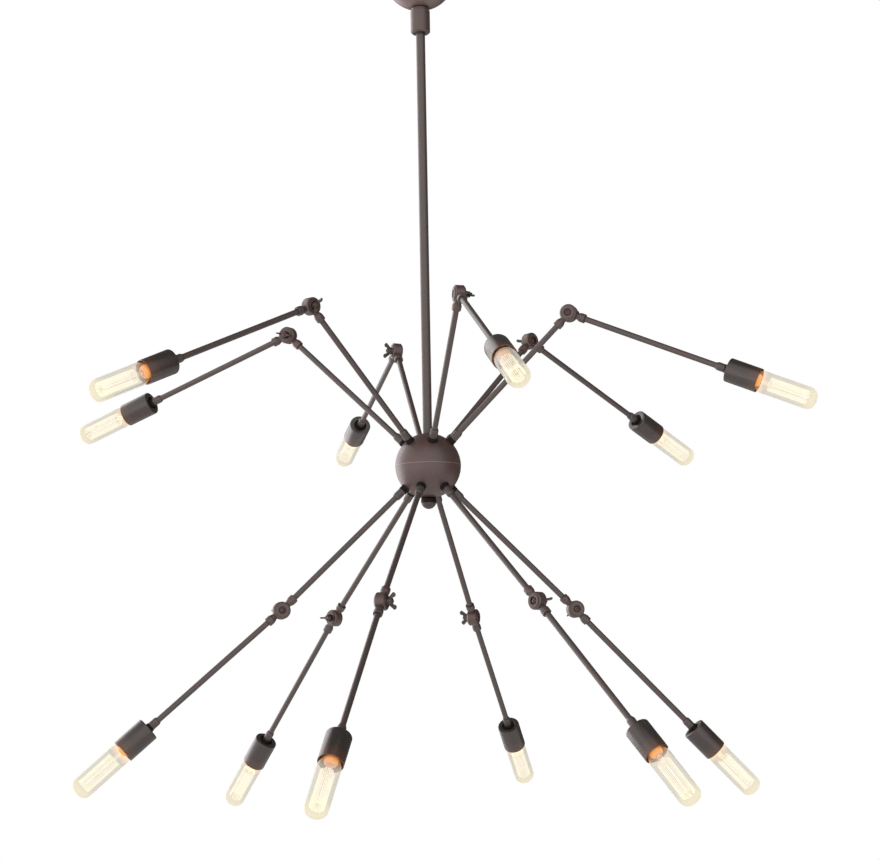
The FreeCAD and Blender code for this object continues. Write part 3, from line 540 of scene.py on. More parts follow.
arms = {arm: arm_matrix(arm) for arm in ARMS}
SOCKET_BACK, SOCKET_MOUTH, SOCKET_RADIUS = reach("upper_socket_1", arms["upper_1"])
BULB_FOOT, BULB_TIP, BULB_RADIUS = reach("upper_bulb_1", arms["upper_1"])
print("socket: %.2f to %.2f, radius %.2f mm" % (SOCKET_BACK, SOCKET_MOUTH, SOCKET_RADIUS))
print("bulb: %.2f to %.2f, radius %.2f mm" % (BULB_FOOT, BULB_TIP, BULB_RADIUS))

# %% [markdown]
# ## Redder knuckles
# The bronze is redder round each pivot. The spot is found by the distance from one point, so every arm gets
# a bronze of its own.

# %% Redden the knuckles
for arm, matrix in arms.items():
    arm_bronze = dark_bronze(f"{arm}_bronze", **PLAIN_BRONZE, knuckle=matrix.translation)
    nodes[node_name(arm, "arm")].data.materials[0] = arm_bronze
print("arms with a bronze of their own:", len(arms))

# %% [markdown]
# ## Turning on a lathe
# Sockets, caps and bulbs are all round, so one helper does what a lathe does: it turns an outline of lengths
# and radii in millimetres about X. An outline may be closed, like the wall of a tube. A ripple may change
# the radius as the piece turns, and that is how a screw thread is cut.

# %% Write the lathe
SIDES = 72
SMALL_SIDES = 48
SHARP_ANGLE = radians(35)


def arc(centre, radius, start, stop, steps=6):
    """Points of length and radius on an arc, with its angles in degrees from the direction of length."""
    angles = [radians(start + (stop - start) * step / steps) for step in range(steps + 1)]
    return [(centre[0] + radius * cos(angle), centre[1] + radius * sin(angle)) for angle in angles]


def dome(seat, height, radius, steps, power=1):
    """Points of length and radius on a dome, from beside its crown to its seat."""
    angles = [pi / 2 * step / steps for step in range(1, steps + 1)]
    return [(seat + height * cos(angle) ** power, radius * sin(angle)) for angle in angles]


def join_rings(form, near, far):
    """Faces between two rings of vertices. A ring of one vertex is a point on the axis."""
    count = max(len(near), len(far))
    for step in range(count):
        after = (step + 1) % count
        corners = [near[step % len(near)], near[after % len(near)],
                   far[after % len(far)], far[step % len(far)]]
        form.faces.new(list(dict.fromkeys(corners)))


def finish_mesh(name, form, finish):
    """Turns the faces outward, shades them smooth up to a sharp angle, and gives them a material."""
    bmesh.ops.recalc_face_normals(form, faces=form.faces)
    mesh = new_mesh(name, form)
    mesh.shade_smooth()
    mesh.set_sharp_from_angle(angle=SHARP_ANGLE)
    mesh.materials.append(finish)
    return mesh


def lathe(name, outline, finish, closed=False, ripple=None, sides=SIDES):
    """A mesh turned about X from points of length and radius."""
    form = bmesh.new()
    rings = []
    for length, radius in outline:
        angles = [2 * pi * step / sides for step in range(sides if radius > 0 else 1)]
        sizes = [radius + (ripple(length, angle) if ripple else 0.0) for angle in angles]
        rings.append([form.verts.new((length * MM, size * MM * cos(angle), size * MM * sin(angle)))
                      for size, angle in zip(sizes, angles)])
    for near, far in zip(rings, rings[1:] + rings[:1] if closed else rings[1:]):
        join_rings(form, near, far)
    return finish_mesh(name, form, finish)


print("lathe ready with", SIDES, "sides")

# %% [markdown]
# ## Mounting
# A mesh becomes a piece when it is put in its place and told which body it rides on. What one arm has, all
# twelve have, so one helper mounts a mesh on every arm at once.

# %% Write the mounting helpers


def mount(name, data, matrix, body, stands_for=None):
    """An object in the room that rides on a body, and stands for a node if one is named."""
    piece = bpy.data.objects.new(name, data)
    piece.matrix_world = matrix
    scene.collection.objects.link(piece)
    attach(piece, body)
    if stands_for:
        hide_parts(stands_for)
    return piece


def mount_on_arms(name, data, kind=None):
    """One piece for every arm. It stands for the arm's node of a kind, if one is named."""
    made = [mount(f"{arm}_{name}", data, matrix, arm, node_name(arm, kind) if kind else None)
            for arm, matrix in arms.items()]
    print("%s: %d, each with %d vertices" % (name, len(made), len(data.vertices)))
    return made


print("ready to mount on", len(arms), "arms")

# %% [markdown]
# ## Trim at the ball
# Where each arm enters the ball there is a black bushing, and a black gasket sits between the ball and the
# round nut under it. Both are painted shade: dark parts put where shade falls. A thin pale bead fills the seam
# between the half shells, and its pale line is a painted highlight. The bushings are turned about the line of
# their arm and the others about a line straight down.

# %% Turn the bushings and the gasket of painted shade, and the bead
SHADE_BUSHING_BORE = 5.8
SHADE_BUSHING_SLEEVE = 6.2
SHADE_BUSHING_FLANGE = 7.0
SHADE_BUSHING_DEPTH = 1.0
SHADE_BUSHING_ROUND = 0.6
FLANGE_HEIGHT = 1.0
SLEEVE_HEIGHT = 6.5
SHADE_GASKET_RADIUS = 10.8
SHADE_GASKET_BORE = 10.55
SHADE_GASKET_NECK = 7.6
SHADE_GASKET_STEP = 2.4
SHADE_GASKET_ROUND = 0.5
NUT_DOME = 8.5
BEAD_DEPTH = 2.0
BEAD_PROUD = 0.15
BEAD_SINK = 0.02
BEAD_SIDES = 96
RUBBER_AND_SHADE_COLOURS = ((0.010, 0.008, 0.007, 1.0), (0.022, 0.018, 0.016, 1.0))
RUBBER_BEND = 1.3
DOWNWARD = Matrix.Rotation(pi / 2, 4, "Y")
nut_low, nut_high = (corner.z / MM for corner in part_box("finial"))
rims = [max(spots(name), key=lambda place: hypot(place[0], place[1]))
        for name in ("hub_upper_shell", "hub_lower_shell")]
SEAM_HALF = (rims[0][2] - rims[1][2]) / 2 / MM
BALL_RADIUS = hypot(rims[0][0], rims[0][1]) / MM
ball_centre = Vector((0.0, 0.0, (rims[0][2] + rims[1][2]) / 2))


# Painted shade: a black ring round each arm's root, where the root lies in shade.
def bushing():
    seat = sqrt(BALL_RADIUS ** 2 - SHADE_BUSHING_FLANGE ** 2)
    flange = seat + FLANGE_HEIGHT
    sleeve = seat + SLEEVE_HEIGHT
    outline = [(seat - SHADE_BUSHING_DEPTH, SHADE_BUSHING_BORE), (seat - SHADE_BUSHING_DEPTH, SHADE_BUSHING_FLANGE)]
    outline += arc((flange - SHADE_BUSHING_ROUND, SHADE_BUSHING_FLANGE - SHADE_BUSHING_ROUND), SHADE_BUSHING_ROUND, 90, 0, steps=4)
    outline += [(flange, SHADE_BUSHING_SLEEVE), (sleeve, SHADE_BUSHING_SLEEVE), (sleeve, SHADE_BUSHING_BORE)]
    return lathe("bushing", outline, rubber_and_painted_shade, closed=True, sides=SMALL_SIDES)


# Painted shade: a black band under the ball, where the ball's shadow falls on the nut.
def shade_gasket():
    top = -nut_high
    step = top + SHADE_GASKET_STEP
    foot = -nut_low - NUT_DOME
    outline = [(top, SHADE_GASKET_NECK)]
    outline += arc((top + SHADE_GASKET_ROUND, SHADE_GASKET_RADIUS - SHADE_GASKET_ROUND), SHADE_GASKET_ROUND, 180, 90, steps=4)
    outline += [(foot, SHADE_GASKET_RADIUS), (foot, SHADE_GASKET_BORE), (step, SHADE_GASKET_BORE), (step, SHADE_GASKET_NECK)]
    return lathe("shade_gasket", outline, rubber_and_painted_shade, closed=True, sides=SMALL_SIDES)


def seam_bead():
    half = SEAM_HALF + BEAD_SINK
    edge = BALL_RADIUS + BEAD_PROUD
    outline = [(-half, edge - BEAD_DEPTH), (-half, edge), (half, edge), (half, edge - BEAD_DEPTH)]
    # The bead takes the bright bronze, so its pale line is a painted highlight along the seam.
    return lathe("seam_bead", outline, painted_light_bronze, closed=True, sides=BEAD_SIDES)


# This black is painted shade on the bushings and the gasket, and rubber on the grommets.
rubber_and_painted_shade = mottled("black_rubber_and_painted_shade", RUBBER_AND_SHADE_COLOURS, {"scale": 350, "detail": 4.0, "high": 0.7},
                 rough=(500, 0.55, 0.75), IOR=RUBBER_BEND)
shade_bushing_mesh = bushing()
at_ball = Matrix.Translation(ball_centre)
for arm, matrix in arms.items():
    outward = (matrix.translation - ball_centre).to_track_quat("X", "Z").to_matrix().to_4x4()
    mount(f"{arm}_bushing", shade_bushing_mesh, at_ball @ outward, "hub_frame")
mount("shade_gasket", shade_gasket(), DOWNWARD, "hub_frame")
mount("seam_bead", seam_bead(), at_ball @ DOWNWARD, "hub_frame")
print("ball: radius %.1f mm, seam %.2f mm, bushings: %d" % (BALL_RADIUS, 2 * SEAM_HALF, len(arms)))

# %% [markdown]
# ## The socket's shell
# The shell is a spun cup with a rounded back edge, a well round the ferrule, and an open mouth with a rolled
# rim. Near the mouth the warm light of the bulb is painted on it as a brown.

# %% Turn the socket shells
SHELL_WALL = 1.3
SHELL_EDGE = 1.5
WELL_RADIUS = 9.5
WELL_DEPTH = 3.0
WELL_ROUND = 0.4
TUBE_CLEARANCE = 4.05
LIP_RADIUS = 0.65
BULB_LIGHT_REACH = 18.0


def socket_shell():
    bore = SOCKET_RADIUS - SHELL_WALL
    floor = SOCKET_BACK + WELL_DEPTH
    inside = SOCKET_BACK + SHELL_WALL
    wall = WELL_RADIUS + SHELL_WALL
    outline = [(floor, TUBE_CLEARANCE), (floor, WELL_RADIUS)]
    outline += arc((SOCKET_BACK + WELL_ROUND, WELL_RADIUS + WELL_ROUND), WELL_ROUND, 270, 180, steps=3)
    outline += arc((SOCKET_BACK + SHELL_EDGE, SOCKET_RADIUS - SHELL_EDGE), SHELL_EDGE, 180, 90)
    outline += arc((SOCKET_MOUTH - LIP_RADIUS, bore + LIP_RADIUS), LIP_RADIUS, 90, -90, steps=8)
    outline += [(inside, bore), (inside, wall)]
    outline += [(floor + SHELL_WALL, wall), (floor + SHELL_WALL, TUBE_CLEARANCE)]
    return lathe("socket_shell", outline, socket_bronze, closed=True)


# The brown near the mouth is painted warm light from the bulb.
socket_bronze = dark_bronze("socket_bronze", shade=0.62, warmth=0.10, gloss=0.24,
                            bulb_lit_span=(SOCKET_MOUTH - BULB_LIGHT_REACH, SOCKET_MOUTH))
mount_on_arms("socket_shell", socket_shell(), "socket")

# %% [markdown]
# ## The grommets
# A black rubber grommet sits in the well and grips the arm's ferrule. It is what makes the back of each
# socket look like a dark hole.

# %% Press in the grommets
GROMMET_BORE = 5.8
GROMMET_SLEEVE = 6.5
GROMMET_LIP = 6.0
GROMMET_FLANGE = 1.2
GROMMET_TAPER = 1.5
GROMMET_REACH = 4.0
GROMMET_SQUEEZE = 0.05


def grommet():
    floor = SOCKET_BACK + WELL_DEPTH - GROMMET_SQUEEZE
    edge = WELL_RADIUS - GROMMET_SQUEEZE
    face = floor - GROMMET_FLANGE
    end = SOCKET_BACK - GROMMET_REACH
    outline = [(floor, GROMMET_BORE), (floor, edge), (face, edge), (face, GROMMET_SLEEVE),
               (end + GROMMET_TAPER, GROMMET_SLEEVE), (end, GROMMET_LIP), (end, GROMMET_BORE)]
    return lathe("grommet", outline, rubber_and_painted_shade, closed=True, sides=SMALL_SIDES)


mount_on_arms("grommet", grommet())

# %% [markdown]
# ## Resin, brass, black glass and solder
# The holder inside a socket is moulded in a dark red-brown resin, and a faint glow stands for the light of
# the bulb on it. The parts that carry current are brass, tarnished in places. The foot of a bulb is closed
# by streaky black glass and a drop of solder.

# %% Mix the finishes of the socket and the cap
RESIN_COLOURS = ((0.055, 0.014, 0.008, 1.0), (0.120, 0.034, 0.018, 1.0))
RESIN_LIT = (0.42, 0.085, 0.018, 1.0)
RESIN_GLOW = 0.06
BRASS_COLOURS = ((0.80, 0.55, 0.24, 1.0), (0.46, 0.28, 0.11, 1.0))
CONE_COLOURS = ((0.004, 0.004, 0.005, 1.0), (0.016, 0.014, 0.018, 1.0))
SOLDER_COLOURS = ((0.62, 0.62, 0.64, 1.0), (0.34, 0.34, 0.36, 1.0))

resin = mottled("moulded_resin", RESIN_COLOURS, {"scale": 220, "detail": 5.0, "roughness": 0.65},
                rough=(700, 0.45, 0.6), grain=(1500, 0.1, 0.03))
set_glow(resin, RESIN_LIT, RESIN_GLOW)
tarnish = {"scale": 260, "detail": 5.0, "roughness": 0.6, "low": 0.40, "high": 0.70}
brass = mottled("rolled_brass", BRASS_COLOURS, tarnish, rough=(500, 0.20, 0.40, 3.0),
                grain=(1800, 0.1, 0.02), Metallic=1.0)
black_glass = mottled("black_glass", CONE_COLOURS, {"scale": 300, "detail": 3.0, "low": 0.4, "high": 0.6},
                      rough=(800, 0.05, 0.2))
solder = mottled("solder", SOLDER_COLOURS, {"scale": 900, "detail": 4.0}, rough=(500, 0.25, 0.45),
                 grain=(1200, 0.2, 0.04), Metallic=1.0)
print("finishes:", ", ".join(finish.name for finish in (resin, brass, black_glass, solder)))

# %% [markdown]
# ## The lamp holder
# The holder fills the back of the shell and has a bore for the bulb's cap. A thin sleeve of the same resin
# lines the shell from there nearly to the mouth.

# %% Turn the holders
HOLDER_FRONT = 271.5
HOLDER_FLOOR = 250.5
HOLDER_SEAT = 247.1
HOLDER_BOSS = 8.0
HOLDER_BORE = 14.25
HOLDER_GAP = 0.1
HOLDER_ROUND = 0.3
HOLDER_RADIUS = SOCKET_RADIUS - SHELL_WALL - HOLDER_GAP
SLEEVE_WALL = 0.5
SLEEVE_SETBACK = 1.5


def lamp_holder():
    inside = SOCKET_BACK + WELL_DEPTH + SHELL_WALL
    front = HOLDER_FRONT - HOLDER_ROUND
    outline = [(HOLDER_SEAT, 0.0), (HOLDER_SEAT, TUBE_CLEARANCE), (inside, TUBE_CLEARANCE),
               (inside, HOLDER_BOSS), (HOLDER_SEAT, HOLDER_BOSS), (HOLDER_SEAT, HOLDER_RADIUS)]
    outline += arc((front, HOLDER_RADIUS - HOLDER_ROUND), HOLDER_ROUND, 90, 0, steps=3)
    outline += arc((front, HOLDER_BORE + HOLDER_ROUND), HOLDER_ROUND, 0, -90, steps=3)
    outline += [(HOLDER_FLOOR, HOLDER_BORE), (HOLDER_FLOOR, 0.0)]
    return lathe("lamp_holder", outline, resin)


def fibre_sleeve():
    stop = SOCKET_MOUTH - SLEEVE_SETBACK
    inner = HOLDER_RADIUS - SLEEVE_WALL
    outline = [(HOLDER_FRONT, HOLDER_RADIUS), (stop, HOLDER_RADIUS), (stop, inner), (HOLDER_FRONT, inner)]
    return lathe("fibre_sleeve", outline, resin, closed=True)


mount_on_arms("lamp_holder", lamp_holder())
mount_on_arms("fibre_sleeve", fibre_sleeve())

# %% [markdown]
# ## The screw shell
# A thin brass shell lines the holder and takes the bulb's cap, and a contact sits on the floor. The thread
# is a ripple: the cosine of the length less the angle climbs by one pitch in every turn.

# %% Roll the screw shells
LAMP_THREAD = {"pitch": 3.6, "depth": 0.45, "fade": 2.0}
THREAD_STEP = 0.3
SHELL_START = 252.0
SHELL_STOP = 268.5
SHELL_MIDDLE = 13.5
SHELL_SHEET = 0.25
CONTACT_RADIUS = 4.0
CONTACT_HEIGHT = 1.2
CONTACT_STEPS = 6


def thread_between(start, stop, pitch, depth, fade, sunk=0.0):
    """A rounded thread of one start that fades out at both ends. Sunk by 1, it is cut below the outline."""
    def ripple(length, angle):
        share = min(1.0, max(0.0, (length - start) / fade), max(0.0, (stop - length) / fade))
        return depth * share * (cos(2 * pi * length / pitch - angle) - sunk)
    return ripple


def steps_between(start, stop, size):
    """Lengths from start to stop, evenly spaced and about one size apart."""
    count = max(1, round((stop - start) / size))
    return [start + (stop - start) * step / count for step in range(count + 1)]


def screw_shell():
    lengths = steps_between(SHELL_START, SHELL_STOP, THREAD_STEP)
    outline = [(length, SHELL_MIDDLE) for length in lengths]
    outline += [(length, SHELL_MIDDLE + SHELL_SHEET) for length in reversed(lengths)]
    thread = thread_between(SHELL_START, SHELL_STOP, **LAMP_THREAD)
    return lathe("screw_shell", outline, brass, closed=True, ripple=thread)


def centre_contact():
    outline = [(HOLDER_FLOOR + CONTACT_HEIGHT, 0.0)]
    outline += dome(HOLDER_FLOOR, CONTACT_HEIGHT, CONTACT_RADIUS, CONTACT_STEPS, power=2)
    outline += [(HOLDER_FLOOR - SHELL_SHEET, CONTACT_RADIUS)]
    return lathe("centre_contact", outline, brass)


mount_on_arms("screw_shell", screw_shell())
mount_on_arms("centre_contact", centre_contact())

# %% [markdown]
# ## The bulb's cap
# The cap is a brass sheet rolled into the same thread, with a cone of black glass at its foot and a drop of
# solder in the middle of that.

# %% Turn the caps
CAP_SHEET = 0.35
CAP_SHOULDER = 256.0
CAP_THREAD_STOP = 269.0
CAP_RIM_START = 270.0
CAP_RIM = 273.5
CAP_MIDDLE = 12.65
CAP_RIM_RADIUS = 13.05
CAP_TURN = (0.4, 1.6)
CONE_RADIUS = 10.2
CONE_FOOT = 252.4
CONE_TOP = 255.0
CONE_TAIL = 256.5
CONE_ROUND = 1.0
CONE_LEDGE = 0.2
CONE_BEVEL = (0.3, 0.6)
DROP_RADIUS = 4.4
DROP_SINK = 0.2
DROP_STEPS = 6


def cap_shell():
    outer = [(CONE_TOP, CONE_RADIUS), (CONE_TOP + CAP_TURN[0], CONE_RADIUS + CAP_TURN[1])]
    outer += [(length, CAP_MIDDLE) for length in steps_between(CAP_SHOULDER, CAP_THREAD_STOP, THREAD_STEP)]
    outer += [(CAP_RIM_START, CAP_RIM_RADIUS), (CAP_RIM, CAP_RIM_RADIUS)]
    inner = [(length, radius - CAP_SHEET) for length, radius in reversed(outer)]
    thread = thread_between(CAP_SHOULDER, CAP_THREAD_STOP, **LAMP_THREAD)
    return lathe("cap_shell", outer + inner, brass, closed=True, ripple=thread)


def cap_cone():
    inside = CONE_RADIUS - CAP_SHEET
    outline = [(CONE_FOOT, 0.0), (CONE_FOOT, DROP_RADIUS)]
    outline += arc((CONE_FOOT + CONE_ROUND, DROP_RADIUS + CONE_LEDGE), CONE_ROUND, 180, 120, steps=3)
    outline += [(CONE_TOP - CONE_BEVEL[0], CONE_RADIUS - CONE_BEVEL[1]), (CONE_TOP, inside)]
    outline += [(CONE_TAIL, inside), (CONE_TAIL, 0.0)]
    return lathe("cap_cone", outline, black_glass)


def cap_drop():
    outline = [(BULB_FOOT, 0.0)] + dome(CONE_FOOT, BULB_FOOT - CONE_FOOT, DROP_RADIUS, DROP_STEPS)
    return lathe("cap_drop", outline + [(CONE_FOOT + DROP_SINK, 0.0)], solder)


mount_on_arms("cap_shell", cap_shell())
mount_on_arms("cap_cone", cap_cone())
mount_on_arms("cap_drop", cap_drop())

# %% [markdown]
# ## The bulb's glass
# The glass is clear, but it doesn't look empty. Its wall soaks up a little light, most where it is seen edge
# on, and the lit filament leaves a haze in it: a weak glow that is peach in the neck, cream over the cage
# and yellower at the tip. The stem inside is clearer and lit from its foot.

# %% Mix the clear glass
TINT_STOPS = {284.0: (0.90, 0.88, 0.85, 1.0), 296.0: (0.48, 0.465, 0.43, 1.0)}
GLASS_BEND = 1.12
WALL_TINT = (0.80, 0.68, 0.50, 1.0)
WALL_DENSITY = 70.0
RIM_TINT = (0.30, 0.29, 0.26, 1.0)
RIM_START = 0.45
RIM_FULL = 0.95
HAZE_GLOW = 0.32
HAZE_STOPS = {279.0: (0.01, 0.005, 0.002, 1.0), 287.0: (0.40, 0.22, 0.09, 1.0),
              299.0: (0.62, 0.62, 0.58, 1.0), 346.0: (0.66, 0.64, 0.57, 1.0),
              362.0: (0.88, 0.81, 0.61, 1.0)}
STEM_TINT = (0.90, 0.87, 0.80, 1.0)
STEM_GLOW = 0.5
STEM_LIGHT = {287.5: (0.30, 0.10, 0.01, 1.0), 291.0: (0.45, 0.30, 0.15, 1.0),
              299.0: (0.42, 0.38, 0.30, 1.0), 306.0: (0.10, 0.09, 0.07, 1.0)}


def hazy_glass():
    """The envelope's glass, darker at its rim wherever it has its full tint."""
    material, tree, shader = new_finish("envelope_glass")
    facing = add_node(tree, "LayerWeight").outputs["Facing"]
    body = remap(tree, arm_length(tree), min(TINT_STOPS) * MM, max(TINT_STOPS) * MM)
    rim = math_node(tree, "MULTIPLY", remap(tree, facing, RIM_START, RIM_FULL), body)
    tint = blend(tree, rim, along_arm(tree, TINT_STOPS), RIM_TINT)
    set_shader(tree, shader, Base_Color=tint, Transmission_Weight=1.0, IOR=GLASS_BEND, Roughness=0.0)
    set_glow(material, along_arm(tree, HAZE_STOPS), HAZE_GLOW)
    soak = add_node(tree, "VolumeAbsorption", {"Color": WALL_TINT, "Density": WALL_DENSITY}).outputs[0]
    tree.links.new(soak, tree.nodes["Material Output"].inputs["Volume"])
    return material


def clear_glass():
    material, tree, shader = new_finish("stem_glass")
    clearer = mottle(tree, scale=150, low=0.3, high=0.7)
    set_shader(tree, shader, Base_Color=blend(tree, clearer, STEM_TINT, WHITE), Transmission_Weight=1.0,
               IOR=GLASS_BEND, Roughness=0.0)
    set_glow(material, along_arm(tree, STEM_LIGHT), STEM_GLOW)
    return material


envelope_glass = hazy_glass()
stem_glass = clear_glass()
print("finishes:", envelope_glass.name, stem_glass.name)

# %% [markdown]
# ## The envelope
# The envelope is a tube with a rounded end, drawn in at the neck. It is a real wall with an outside and an
# inside, because a solid rod of glass would act as a lens. It casts no shadow, so the light inside reaches
# the socket without a thousand samples.

# %% Blow the envelopes
GLASS_WALL = 0.8
GLASS_START = 271.6
NECK_STOP = 279.0
SHOULDER_STOP = 292.0
NECK_RADIUS = 12.4
DOME_LENGTH = 12.0
DOME_POWER = 2.3
SHOULDER_STEPS = 10
DOME_STEPS = 14


def envelope_side(inset):
    """Points of one side of the glass from the neck to the tip, set in from the outside by a distance."""
    body = BULB_RADIUS - inset
    neck = NECK_RADIUS - inset
    side = [(GLASS_START, neck)]
    for step in range(SHOULDER_STEPS + 1):
        swell = 0.5 - 0.5 * cos(pi * step / SHOULDER_STEPS)
        length = NECK_STOP + (SHOULDER_STOP - NECK_STOP) * step / SHOULDER_STEPS
        side.append((length, neck + (body - neck) * swell))
    for step in range(DOME_STEPS):
        angle = pi / 2 * step / DOME_STEPS
        rise = (DOME_LENGTH - inset) * sin(angle) ** (2 / DOME_POWER)
        side.append((BULB_TIP - DOME_LENGTH + rise, body * cos(angle) ** (2 / DOME_POWER)))
    return side + [(BULB_TIP - inset, 0.0)]


envelope = lathe("envelope", envelope_side(GLASS_WALL)[::-1] + envelope_side(0.0), envelope_glass)
for piece in mount_on_arms("glass", envelope, "bulb"):
    piece.visible_shadow = False

# %% [markdown]
# ## The lit mount
# A flared glass mount is sealed into the neck. Light from the filament makes it glow like a peach, which is
# what colours the mouth of each socket. It is amber at its rim and in its throat.

# %% Mix the lit glass
PEACH = (0.80, 0.33, 0.09, 1.0)
AMBER = (0.46, 0.13, 0.01, 1.0)
TRUMPET_RIM = 279.0
TRUMPET_THROAT = 287.5
TRUMPET_GLOW = 0.46
THROAT_RADIUS = 5.0
THROAT_BLUR = 2.0
THROAT_WANDER = 3.0


def lit_glass():
    """Amber at the rim and in the throat, peach between. The throat is found by the distance from X."""
    material, tree, shader = new_finish("lit_glass")
    place = add_node(tree, "SeparateXYZ", {0: own_place(tree)}).outputs
    across = add_node(tree, "CombineXYZ", {"X": place["Y"], "Y": place["Z"]}).outputs[0]
    wander = math_node(tree, "MULTIPLY", noise(tree, scale=180), THROAT_WANDER * MM)
    radius = math_node(tree, "ADD", vector_node(tree, "LENGTH", across), wander)
    outside = remap(tree, radius, THROAT_RADIUS * MM, (THROAT_RADIUS + THROAT_BLUR) * MM)
    half_way = (TRUMPET_RIM + TRUMPET_THROAT) / 2
    front = along_arm(tree, {TRUMPET_RIM: AMBER, half_way: PEACH, TRUMPET_THROAT: PEACH})
    light = blend(tree, outside, AMBER, front)
    waves = noise(tree, scale=120, detail=1.0)
    set_shader(tree, shader, Base_Color=light, Roughness=0.3,
               Normal=bump(tree, waves, strength=0.2, depth=0.2))
    set_glow(material, light, TRUMPET_GLOW)
    return material


trumpet_glass = lit_glass()
print("finish:", trumpet_glass.name)

# %% [markdown]
# ## The glass mount
# The mount flares like a dome from its throat to its rim. On it stands a stem that is pinched flat round the
# two lead wires, with a thin rod and a button at the far end. The pinch is a ripple too: it swells the piece
# sideways and thins it the other way.

# %% Turn the trumpets and the stems
TRUMPET_RADIUS = 9.6
TRUMPET_POWER = 0.6
TRUMPET_WALL = 0.9
TRUMPET_STEPS = 9
STEM_RADIUS = 3.3
ROD_RADIUS = 1.4
PINCH_START = 288.0
PINCH_STOP = 299.0
PINCH_SPREAD = 1.7
PINCH_TAIL = 2.0
PINCH_STEP = 0.8
BUTTON_START = 347.5
NECK_POINTS = ((-0.8, 2.6), (0.2, 1.9), (1.5, ROD_RADIUS))
BUTTON_POINTS = ((0.0, ROD_RADIUS), (0.8, 2.2), (2.0, 2.7), (4.0, 2.7), (5.3, 2.0), (6.0, 0.0))


def trumpet_side(inset):
    """The mount's flare from its rim to its throat, set in from the outside by a distance."""
    side = []
    for step in range(TRUMPET_STEPS + 1):
        share = step / TRUMPET_STEPS
        flare = (TRUMPET_RADIUS - STEM_RADIUS) * (1 - share ** 2) ** TRUMPET_POWER
        length = TRUMPET_RIM + (TRUMPET_THROAT - TRUMPET_RIM) * share
        side.append((length, STEM_RADIUS - inset + flare))
    return side


def trumpet():
    outline = trumpet_side(0.0) + trumpet_side(TRUMPET_WALL)[::-1]
    return lathe("trumpet", outline, trumpet_glass, closed=True, sides=SMALL_SIDES)


def pinch(length, angle):
    """Wide across Y and thin across Z in the middle of the pinch."""
    share = min(1.0, max(0.0, (length - PINCH_START) / (PINCH_STOP - PINCH_START)))
    return PINCH_SPREAD * sin(pi * share) ** 2 * cos(2 * angle)


def stem():
    pinched = steps_between(PINCH_START, PINCH_STOP - PINCH_TAIL, PINCH_STEP)
    outline = [(TRUMPET_THROAT, 0.0), (TRUMPET_THROAT, STEM_RADIUS)]
    outline += [(length, STEM_RADIUS) for length in pinched]
    outline += [(PINCH_STOP + length, radius) for length, radius in NECK_POINTS]
    outline += [(BUTTON_START + length, radius) for length, radius in BUTTON_POINTS]
    return lathe("stem", outline, stem_glass, ripple=pinch, sides=SMALL_SIDES)


mount_on_arms("trumpet", trumpet())
for piece in mount_on_arms("stem", stem()):
    piece.visible_shadow = False

# %% [markdown]
# ## Glowing wire
# Lit, the filament is the brightest thing in the picture, but it has to stay a warm cream, so its light is
# only a little stronger than white. The steel hooks beside it glow faintly.

# %% Mix the wires
GLOW_HOT = (1.0, 0.98, 0.87, 1.0)
GLOW_WARM = (1.0, 0.91, 0.68, 1.0)
GLOW_STRENGTH = 1.2
WIRE_GREY = (0.30, 0.26, 0.22, 1.0)
HOOK_COLOURS = ((0.62, 0.57, 0.50, 1.0), (0.42, 0.38, 0.33, 1.0))
HOOK_GLOW = 0.5


def glowing_wire():
    material, tree, shader = new_finish("glowing_wire")
    set_shader(tree, shader, Base_Color=WIRE_GREY, Metallic=1.0, Roughness=0.5)
    light_share = mottle(tree, scale=90, low=0.3, high=0.6)
    set_glow(material, blend(tree, light_share, GLOW_WARM, GLOW_HOT), GLOW_STRENGTH)
    return material


glow = glowing_wire()
hook_wire = mottled("hook_wire", HOOK_COLOURS, {"scale": 600, "detail": 3.0}, rough=(900, 0.25, 0.45),
                    Metallic=1.0)
set_glow(hook_wire, GLOW_WARM, HOOK_GLOW)
print("finishes:", glow.name, hook_wire.name)

# %% [markdown]
# ## The filament
# The filament is one long wire that runs up and down round a cage, drawn as a curve with a round bevel. One
# place round the cage stays empty, between the two ends. That makes the count of places odd, so the back
# strands fill the gaps in front.

# %% Bend the filaments
STRANDS = 24
PLACES = STRANDS + 1
CAGE_RADIUS = 9.0
CAGE_START = 299.0
CAGE_STOP = 352.5
WIRE_RADIUS = 0.6
WIRE_ROUNDNESS = 2
TURN_STEPS = 8


def on_cage(length, angle, radius=CAGE_RADIUS):
    """A point at a length, an angle and a radius about the bulb's axis, in metres."""
    return Vector((length, radius * cos(angle), radius * sin(angle))) * MM


def strand_angle(strand):
    return 2 * pi * (strand + 0.5) / PLACES


def turn_points(strand, end, way):
    """The half circle that takes the wire from one strand to the next, bulging along the axis."""
    first, second = on_cage(end, strand_angle(strand)), on_cage(end, strand_angle(strand + 1))
    centre, half = (first + second) / 2, (first - second) / 2
    bulge = Vector((way * half.length, 0.0, 0.0))
    angles = [pi * step / TURN_STEPS for step in range(1, TURN_STEPS)]
    return [centre + half * cos(angle) + bulge * sin(angle) for angle in angles]


def filament_points():
    turn = CAGE_RADIUS * sin(pi / PLACES)
    bottom, top = CAGE_START + turn, CAGE_STOP - turn
    points = []
    for strand in range(STRANDS):
        rising = strand % 2 == 0
        start, stop = (bottom, top) if rising else (top, bottom)
        points += [on_cage(start, strand_angle(strand)), on_cage(stop, strand_angle(strand))]
        if strand < STRANDS - 1:
            points += turn_points(strand, stop, 1 if rising else -1)
    return points


